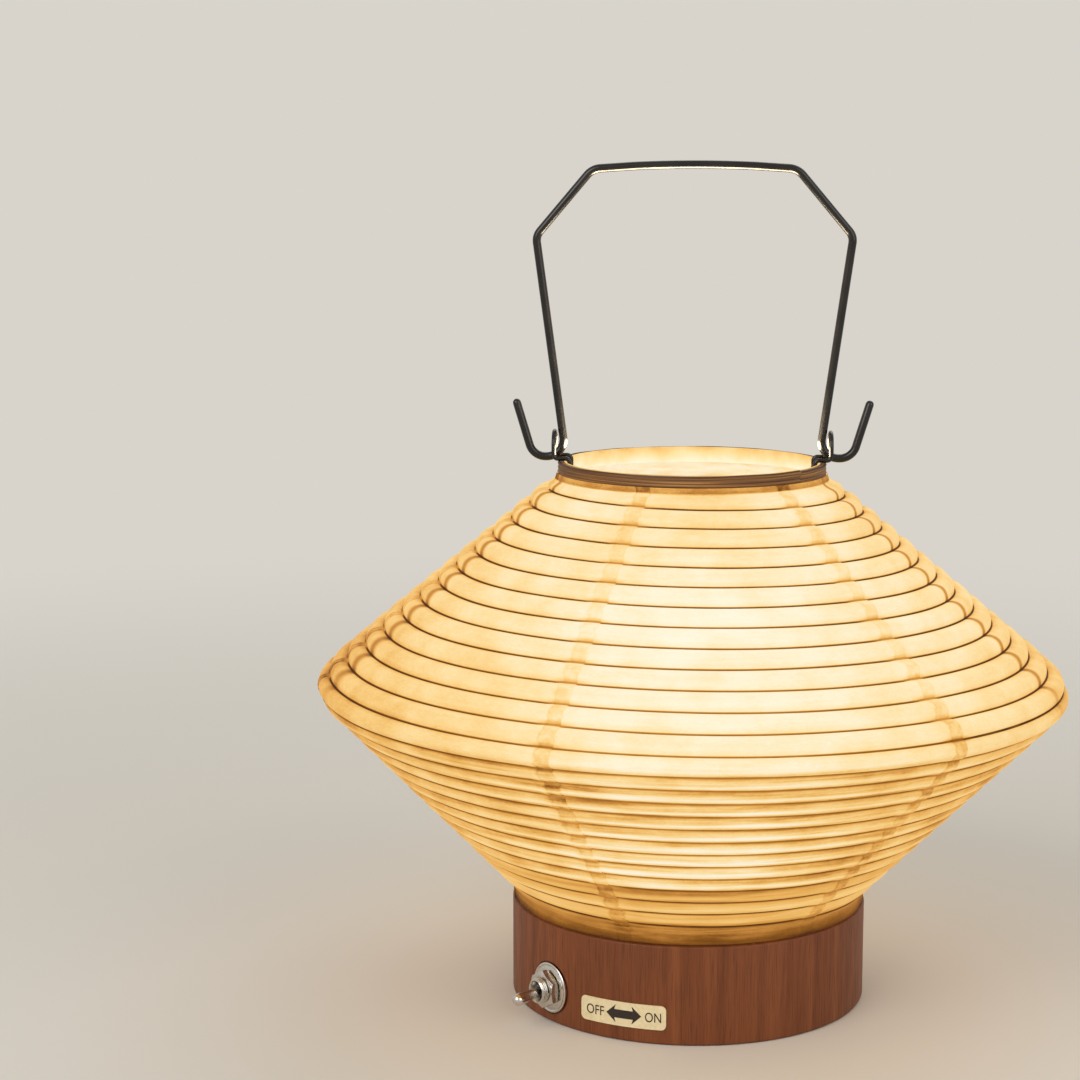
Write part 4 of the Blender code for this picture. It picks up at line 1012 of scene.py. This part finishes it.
def make_base(wood):
    """Turn the base and cut its switch seat, its pocket and the sockets of the stays."""
    edge = [(BASE_RADIUS - BASE_EDGE + r, BASE_HEIGHT - BASE_EDGE + z)
            for r, z in quarter_round(BASE_EDGE, 0, BASE_EDGE, 5)]
    foot = [(BASE_RADIUS - BASE_FOOT_ROUND + r, BASE_FOOT_ROUND - z)
            for r, z in quarter_round(BASE_FOOT_ROUND, 0, BASE_FOOT_ROUND, 6)[::-1]]
    drum = turned("turned_base", [
        (0, SPIGOT_TOP), (SPIGOT_RADIUS - BASE_EDGE, SPIGOT_TOP), (SPIGOT_RADIUS, SPIGOT_TOP - BASE_EDGE),
        (SPIGOT_RADIUS, BASE_HEIGHT), *edge, *foot, (REBATE_RADIUS, 0), (REBATE_RADIUS, LEDGE_HEIGHT),
        (CAVITY_RADIUS, LEDGE_HEIGHT), (CAVITY_RADIUS, CAVITY_CEILING), (0, CAVITY_CEILING)], TURNING_STEPS)
    around = Matrix.Rotation(SWITCH_AZIMUTH, 4, 'Z')
    axis = switch_axis()
    top = SPIGOT_TOP + OVERCUT
    cutters = [
        block("pocket", POCKET_SIZE, POCKET_MIDDLE, around),
        rod("lead_hole", LEAD_HOLE_RADIUS, CAVITY_CEILING - OVERCUT, top, HOLE_STEPS,
            around @ Matrix.Translation((0, -LEAD_HOLE_REACH, 0))),
        rod("bush_hole", BUSH_HOLE_RADIUS, CAVITY_RADIUS, SPOT_FACE_REACH + OVERCUT, SWITCH_STEPS, axis),
        rod("spot_face", SPOT_FACE_RADIUS, SPOT_FACE_REACH, BASE_RADIUS + OVERCUT, SWITCH_STEPS, axis)]
    cutters += [rod("socket", STAY_SOCKET_RADIUS, STAY_SOCKET_BOTTOM, top, SOCKET_STEPS,
                    Matrix.Translation((side * STAY_X, end * STAY_HALF_WIDTH, 0)))
                for side in (-1, 1) for end in (-1, 1)]
    keep_as(cut(drum, cutters, wood), "base", "oiled_cherry", "base_drum")


def thread_tree(chrome, values):
    """Make the tree of a screw thread: a fine ridge wound round the switch's bush."""
    tree, add, sizes = new_tree("bush_thread", values)
    helix = add('GeometryNodeCurveSpiral', {
        "Resolution": SWITCH_STEPS, "Rotations": sizes["Turns"], "Start Radius": sizes["Radius"],
        "End Radius": sizes["Radius"], "Height": sizes["Height"]})
    section = add('GeometryNodeCurvePrimitiveCircle', {"Resolution": 6, "Radius": sizes["Ridge"]})
    made = add('GeometryNodeCurveToMesh', {"Curve": helix, "Profile Curve": section, "Fill Caps": True})
    end_tree(add, made, chrome)
    return tree


def make_switch(chrome):
    """Make the bush with its thread, the washer, the chamfered nut and the bat lever."""
    axis = switch_axis()
    turned_piece("switch_bush_plated", BUSH_OUTLINE, chrome, ("base", "chrome_plate", "switch_bush"),
                 steps=SWITCH_STEPS, place=axis)
    host = bpy.data.meshes.new("thread_host")
    thread = grown("switch_bush_thread", host, thread_tree(chrome, THREAD_SIZES), THREAD_SIZES)
    thread.data.transform(axis @ Matrix.Translation((0, 0, THREAD_REACH)))
    keep_as(thread, "base", "chrome_plate")
    turned_piece("switch_washer_plated", WASHER_OUTLINE, chrome, ("base", "chrome_plate", "switch_washer"),
                 steps=SWITCH_STEPS, place=axis)

    (_, front), (_, back) = NUT_OUTLINE[0], NUT_OUTLINE[-1]
    nut = rod("switch_nut_plated", NUT_ACROSS_FLATS / math.sqrt(3), back, front, 6, Matrix())
    dished = turned("nut_chamfer", NUT_OUTLINE, SWITCH_STEPS, closed=True)
    nut = cut(nut, [dished], chrome, 'INTERSECT')
    nut.data.transform(axis)
    keep_as(nut, "base", "chrome_plate", "switch_nut")

    ball = [(r, -z) for r, z in quarter_round(LEVER_BALL, 0, LEVER_BALL, 8)][::-1]
    turned_piece("switch_lever_plated", quarter_round(*LEVER_TIP, 8) + LEVER_OUTLINE + ball, chrome,
                 ("lever", "chrome_plate", "switch_lever"), closed=False, steps=40,
                 place=switch_axis(LEVER_LEAN, LEVER_PIVOT_REACH), sharp_deg=60.0)


def on_label(mesh, offset):
    """Lay a flat mesh, in metres about the label's middle, round the base at a small offset."""
    shape = bmesh.new()
    shape.from_mesh(mesh)
    for step in range(1, LABEL_STEPS):
        line = (LABEL_WIDTH * (step / LABEL_STEPS - 0.5), 0.0, 0.0)
        parts = shape.verts[:] + shape.edges[:] + shape.faces[:]
        bmesh.ops.bisect_plane(shape, geom=parts, plane_co=line, plane_no=(1.0, 0.0, 0.0))
    shape.to_mesh(mesh)
    shape.free()
    middle = math.radians(LABEL_MIDDLE_DEG)
    for vertex in mesh.vertices:
        radius = LABEL_RADIUS + offset + vertex.co.z
        azimuth = middle + vertex.co.x / LABEL_RADIUS
        height = (LABEL_TOP + LABEL_BOTTOM) / 2 + vertex.co.y
        vertex.co = (radius * math.sin(azimuth), -radius * math.cos(azimuth), height)


def flat_word(word, left, right):
    """Return a word in plain capitals as a flat mesh that fills its place on the label."""
    curve = bpy.data.curves.new(word, 'FONT')
    curve.body = word
    curve.extrude = 0.01
    lettering = settled("word_" + word.lower(), linked(word, curve))
    xs = [vertex.co.x for vertex in lettering.data.vertices]
    ys = [vertex.co.y for vertex in lettering.data.vertices]
    wide = (right - left) / (max(xs) - min(xs))
    tall = CAP_HEIGHT / (max(ys) - min(ys))
    for vertex in lettering.data.vertices:
        vertex.co.x = left + (vertex.co.x - min(xs)) * wide
        vertex.co.y = (vertex.co.y - min(ys)) * tall - CAP_HEIGHT / 2
        vertex.co.z = INK_THICKNESS if vertex.co.z > 0 else 0.0
    return lettering


def flat_arrow(left, right):
    """Return a thick double arrow with swept barbs as a flat mesh."""
    barb, notch, thick, tall = 2.35 * MM, 2.0 * MM, 1.0 * MM, 2.15 * MM
    half = [(left, 0.0), (left + barb, tall), (left + notch, thick),
            (right - notch, thick), (right - barb, tall), (right, 0.0)]
    outline = half + [(x, -y) for x, y in half[-2:0:-1]]
    shape = bmesh.new()
    face = shape.faces.new([shape.verts.new((x, y, INK_THICKNESS)) for x, y in outline[::-1]])
    made = bmesh.ops.extrude_face_region(shape, geom=[face])
    for vertex in [g for g in made["geom"] if isinstance(g, bmesh.types.BMVert)]:
        vertex.co.z = 0.0
    bmesh.ops.recalc_face_normals(shape, faces=shape.faces)
    bmesh.ops.triangulate(shape, faces=shape.faces)
    return meshed("arrow", shape)


def make_label(sticker, ink):
    """Make the sticker with its rounded corners, and the printed words and arrow on it."""
    shape = bmesh.new()
    half_width = LABEL_WIDTH / 2
    half_height = (LABEL_TOP - LABEL_BOTTOM) / 2
    turns = [math.pi / 2 * step / LABEL_CORNER_STEPS for step in range(LABEL_CORNER_STEPS + 1)]
    ends = [(half_width - LABEL_CORNER + LABEL_CORNER * math.sin(t),
             half_height - LABEL_CORNER + LABEL_CORNER * math.cos(t)) for t in turns]
    columns = [(-x, y) for x, y in ends[::-1]] + ends
    rows = [(shape.verts.new((x, y, 0)), shape.verts.new((x, -y, 0))) for x, y in columns]
    for (top_a, low_a), (top_b, low_b) in zip(rows, rows[1:]):
        shape.faces.new((top_a, low_a, low_b, top_b))
    label = meshed("label_sticker", shape)
    on_label(label.data, 0.0)
    label.data.materials.append(sticker)
    keep_as(thickened(label, LABEL_THICKNESS), "base", "cream_sticker", "switch_label")

    for name, print_ in (("label_word_off", flat_word("OFF", *OFF_SPAN)),
                         ("label_arrow", flat_arrow(*ARROW_SPAN)),
                         ("label_word_on", flat_word("ON", *ON_SPAN))):
        on_label(print_.data, INK_GAP)
        keep_as(settled(name, print_, ink, 30.0), "base", "cream_sticker")


def make_mouth(veneer, lining):
    """Make the hoop: an inner ring, a veneer wound round it with a ragged end, and the paper lining."""
    turned_piece("mouth_ring", [(HOOP_INNER, RING_TOP), (HOOP_MIDDLE, RING_TOP), (HOOP_MIDDLE, HOOP_BOTTOM),
                                (HOOP_INNER, HOOP_BOTTOM)], veneer,
                 ("mouth", "stained_veneer", "mouth_hoop"))

    shape = bmesh.new()
    uv_layer = shape.loops.layers.uv.new("UVMap")
    columns, levels = VENEER_COLUMNS, VENEER_STRANDS * STRAND_STEPS
    grid = []
    for column in range(columns + 1):
        share = column / columns
        angle = math.radians(VENEER_END_DEG + VENEER_TURN_DEG * share)
        radius = HOOP_MIDDLE + VENEER_LAYER * (1 + share)
        wave = VENEER_WAVE * noise.noise((math.sin(angle) * 3, math.cos(angle) * 3, share * 2))
        # The last eighth of the turn comes loose and rises
        wave += VENEER_LOOSE_END * max(0.0, share * 8 - 7)
        grid.append([])
        for level in range(levels + 1):
            height = HOOP_BOTTOM + (HOOP_HEIGHT + wave) * level / levels
            turn = angle
            if column in (0, columns):
                turn += VENEER_RAGGED_END * noise.noise((level * 0.5, share, 4.0)) / radius
            bulge = STRAND_BULGE * math.sin(math.pi * level / STRAND_STEPS) ** 2
            bulge += VENEER_DENTS * noise.noise((angle * 1.2, level * 0.4, 9.0))
            reach = radius + bulge
            grid[-1].append(shape.verts.new((reach * math.sin(turn), -reach * math.cos(turn), height)))
    for column in range(columns):
        for level in range(levels):
            corners = [(column, level), (column + 1, level), (column + 1, level + 1), (column, level + 1)]
            face = shape.faces.new([grid[c][r] for c, r in corners])
            for loop, (c, r) in zip(face.loops, corners):
                loop[uv_layer].uv = (c / columns * VENEER_LENGTH, r / levels * HOOP_HEIGHT)
    strip = meshed("mouth_veneer", shape)
    strip.data.materials.append(veneer)
    keep_as(thickened(strip, VENEER_THICKNESS), "mouth", "stained_veneer")

    turned_piece("mouth_lining", [(LINING_OUTER, LINING_TOP), (LINING_OUTER, HOOP_BOTTOM),
                                  (LINING_INNER, HOOP_BOTTOM), (LINING_INNER, LINING_TOP)], lining,
                 ("mouth", "washi_paper"))


def make_wires(lacquer):
    """Bend the two stays and the bail from black wire."""
    for name, side in (("stay_left", -1), ("stay_right", 1)):
        half = [(side * x, STAY_HALF_WIDTH, z) for x, z in (
            (STAY_X, STAY_FOOT), (STAY_X, EYE_SHOULDER), (EYE_X, EYE_SHOULDER), (EYE_X, EYE_TOP))]
        path = rounded_path(half + [(x, -y, z) for x, y, z in half[::-1]], STAY_BENDS + STAY_BENDS[::-1])
        keep_as(wire(name + "_wire", path, STAY_RADIUS, 4, lacquer), "base", "black_lacquered_wire", name)
    shares = [1 - step / BAIL_BOW_STEPS for step in range(BAIL_BOW_FROM, BAIL_BOW_STEPS)]
    bow = [Vector((BAIL_HALF[-1][0] * s, 0, BAIL_TOP - BAIL_TOP_BOW * s ** 2)) for s in shares]
    side = rounded_path(BAIL_HALF + bow[:1], BAIL_BENDS) + bow[1:]
    path = side + [Vector((0, 0, BAIL_TOP))] + [Vector((-p.x, 0, p.z)) for p in side[::-1]]
    keep_as(wire("bail_wire", path, BAIL_RADIUS, 6, lacquer), "bail", "black_lacquered_wire", "bail")


def make_dome(opal):
    """Turn the opal dome over the light."""
    inner_radius = DOME_RADIUS - DOME_WALL
    outer = quarter_round(DOME_RADIUS, DOME_SPRING, DOME_TOP, 16)
    inner = quarter_round(inner_radius, DOME_SPRING, DOME_TOP - DOME_WALL, 16)
    foot = [(DOME_RADIUS, DOME_BOTTOM), (inner_radius, DOME_BOTTOM)]
    turned_piece("opal_dome", outer + foot + inner[::-1], opal, ("base", "opal_plastic", "led_dome"),
                 closed=False, steps=96)


def dress_nodes():
    """Give the solids that stay in sight, or inside the base, the finish of the real piece."""
    zinc = grained("zinc_plated_steel", ("#A9ABAE", "#C4C6C8"), 0.6 * MM, 0.35, 1.0)
    nickel = grained("nickel_spring_steel", ("#A8A297", "#C2BDB2"), 0.5 * MM, 0.3, 1.0)
    tinned = grained("tinned_brass", ("#BDB6A2", "#D0CBBC"), 0.5 * MM, 0.32, 1.0)
    finishes = {
        "base_lid": grained("black_fibreboard", ("#221E1C", "#38322E"), 0.8 * MM, 0.8, relief=0.5),
        "battery_tray": grained("moulded_tray_plastic", ("#19191B", "#252528"), 0.4 * MM, 0.5),
        "battery_cell": grained("printed_cell_jacket", ("#36424F", "#46535F"), 3.0 * MM, 0.35),
        "lid_screw": zinc, "board_screw": zinc, "contact_plate": nickel, "contact_spring": nickel,
        "switch_body": grained("pressed_phenolic", ("#6E2418", "#842F20"), 0.5 * MM, 0.5),
        "switch_terminal": tinned,
        "hem_hoop": grained("hem_hoop_veneer", ("#5A3418", "#7A4C26"), 1.2 * MM, 0.6),
        "led_board": grained("white_solder_mask", ("#E4E4DE", "#F2F2EE"), 1.0 * MM, 0.4),
        "led_emitter": grained("yellow_phosphor", ("#EBCF7A", "#F4DC92"), 0.3 * MM, 0.4),
        "lead_cells_to_switch": grained("red_lead_sleeve", ("#A8221B", "#BA2C22"), 0.7 * MM, 0.45),
        "lead_switch_to_board": grained("white_lead_sleeve", ("#DEDACF", "#EBE8DF"), 0.7 * MM, 0.45),
        "lead_cells_to_board": grained("black_lead_sleeve", ("#161616", "#222222"), 0.7 * MM, 0.45)}
    for node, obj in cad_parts.items():
        finish = finishes.get(node) or finishes.get(node.rsplit("_", 1)[0])
        if finish:
            obj.data.materials.clear()
            obj.data.materials.append(finish)


VENEER = stained_veneer()
make_shade(lit_washi(), washi_inside(), pasted_bamboo())
make_base(oiled_cherry())
make_switch(chrome_plate())
make_label(cream_sticker(), grained("label_ink", ("#1C120B", "#2A1C12"), 0.3 * MM, 0.55))
make_mouth(VENEER, lining_paper())
make_wires(black_lacquer())
make_dome(opal_plastic())
dress_nodes()


# Studio
FLOOR_REACH = 6.0
FLOOR_COLOUR = "#DCD8D0"
BACKDROP_COLOUR = "#D8D4CC"
FLOOR_NEAR = 0.22
FLOOR_FAR = 0.75
AMBIENT_COLOUR = "#FFFBF4"
AMBIENT_STRENGTH = 0.45
STUDIO_LAMPS = (("key", (-0.8, -1.1, 0.9), 1.0, 11.0), ("fill", (1.0, -0.9, 0.7), 1.1, 6.0),
                ("back", (0.3, 0.9, 1.0), 0.9, 3.5))
LAMP_AIM = Vector((0, 0, 0.09))
LAMP_LIGHT_COLOUR = "#FFE8C2"
INNER_LIGHT_HEIGHT = 64.0 * MM
INNER_LIGHT_RADIUS = 5.0 * MM
INNER_LIGHT_POWER = 0.12
MOUTH_LIGHT_HEIGHT = 131.4 * MM
MOUTH_LIGHT_WIDTH = 52.0 * MM
MOUTH_LIGHT_POWER = 0.36


def make_floor():
    """Make a pale floor that keeps the lamp's shadow and runs into the backdrop without a horizon."""
    shape = bmesh.new()
    bmesh.ops.create_grid(shape, x_segments=1, y_segments=1, size=FLOOR_REACH)
    floor = meshed("floor", shape)
    material, add, shader = new_finish("pale_floor", FLOOR_COLOUR, 0.7, specular=0.2)
    floor.data.materials.append(material)
    place = add('TexCoord').outputs["Object"]
    away = add('VectorMath.LENGTH', place).outputs["Value"]
    far = add('MapRange.SMOOTHSTEP', away, FLOOR_NEAR, FLOOR_FAR)
    fade = add('MULTIPLY', far, seen_directly(add))
    plain = add('Emission', {"Color": linear(BACKDROP_COLOUR), "Strength": 1.0})
    plug(material.node_tree.nodes["Material Output"], {"Surface": add('MixShader', fade, shader, plain)})


def seen_directly(add):
    """Give 1 for rays that show the background: from the camera, in a reflection or through glass."""
    path = add('LightPath')
    seen = add('MAXIMUM', path.outputs["Is Camera Ray"], path.outputs["Is Glossy Ray"])
    return add('MAXIMUM', seen, path.outputs["Is Transmission Ray"])


def make_light(name, kind, place, **settings):
    """Return a new light at its place."""
    light = bpy.data.lights.new(name, kind)
    for label, value in settings.items():
        setattr(light, label, value)
    lamp = linked(name, light)
    lamp.location = place
    return lamp


def make_studio():
    """Make the floor, the lights, the world and the camera."""
    make_floor()
    for name, place, size, power in STUDIO_LAMPS:
        lamp = make_light(name, 'AREA', place, energy=power, size=size)
        lamp.rotation_euler = (LAMP_AIM - Vector(place)).to_track_quat('-Z', 'Y').to_euler()
    # The lamp's own light, inside the shade and out of the mouth on to the eyes and the bail
    warm = linear(LAMP_LIGHT_COLOUR)[:3]
    make_light("inner", 'POINT', (0, 0, INNER_LIGHT_HEIGHT), energy=INNER_LIGHT_POWER, color=warm,
               shadow_soft_size=INNER_LIGHT_RADIUS)
    glow = make_light("mouth_glow", 'AREA', (0, 0, MOUTH_LIGHT_HEIGHT), energy=MOUTH_LIGHT_POWER, color=warm,
                      shape='DISK', size=MOUTH_LIGHT_WIDTH)
    glow.rotation_euler = (math.pi, 0, 0)
    glow.visible_camera = False

    world = bpy.data.worlds.new("studio")
    world.use_nodes = True
    bpy.context.scene.world = world
    world.node_tree.nodes.clear()
    add = adder(world.node_tree)
    ambient = add('Background', {"Color": linear(AMBIENT_COLOUR), "Strength": AMBIENT_STRENGTH})
    backdrop = add('Background', {"Color": linear(BACKDROP_COLOUR), "Strength": 1.0})
    either = add('MixShader', seen_directly(add), ambient, backdrop)
    add('OutputWorld', either)

    camera_data = bpy.data.cameras.new("camera")
    camera_data.lens = CAMERA_LENS_MM
    camera_data.sensor_width = CAMERA_SENSOR_MM
    camera_data.clip_start = CAMERA_NEAR
    camera = linked("camera", camera_data)
    camera.location = CAMERA_PLACE
    camera.rotation_euler = (math.radians(90.0 - CAMERA_PITCH_DEG), 0.0, math.radians(CAMERA_YAW_DEG))
    bpy.context.scene.camera = camera
    bpy.context.scene.view_settings.view_transform = 'Standard'


make_studio()
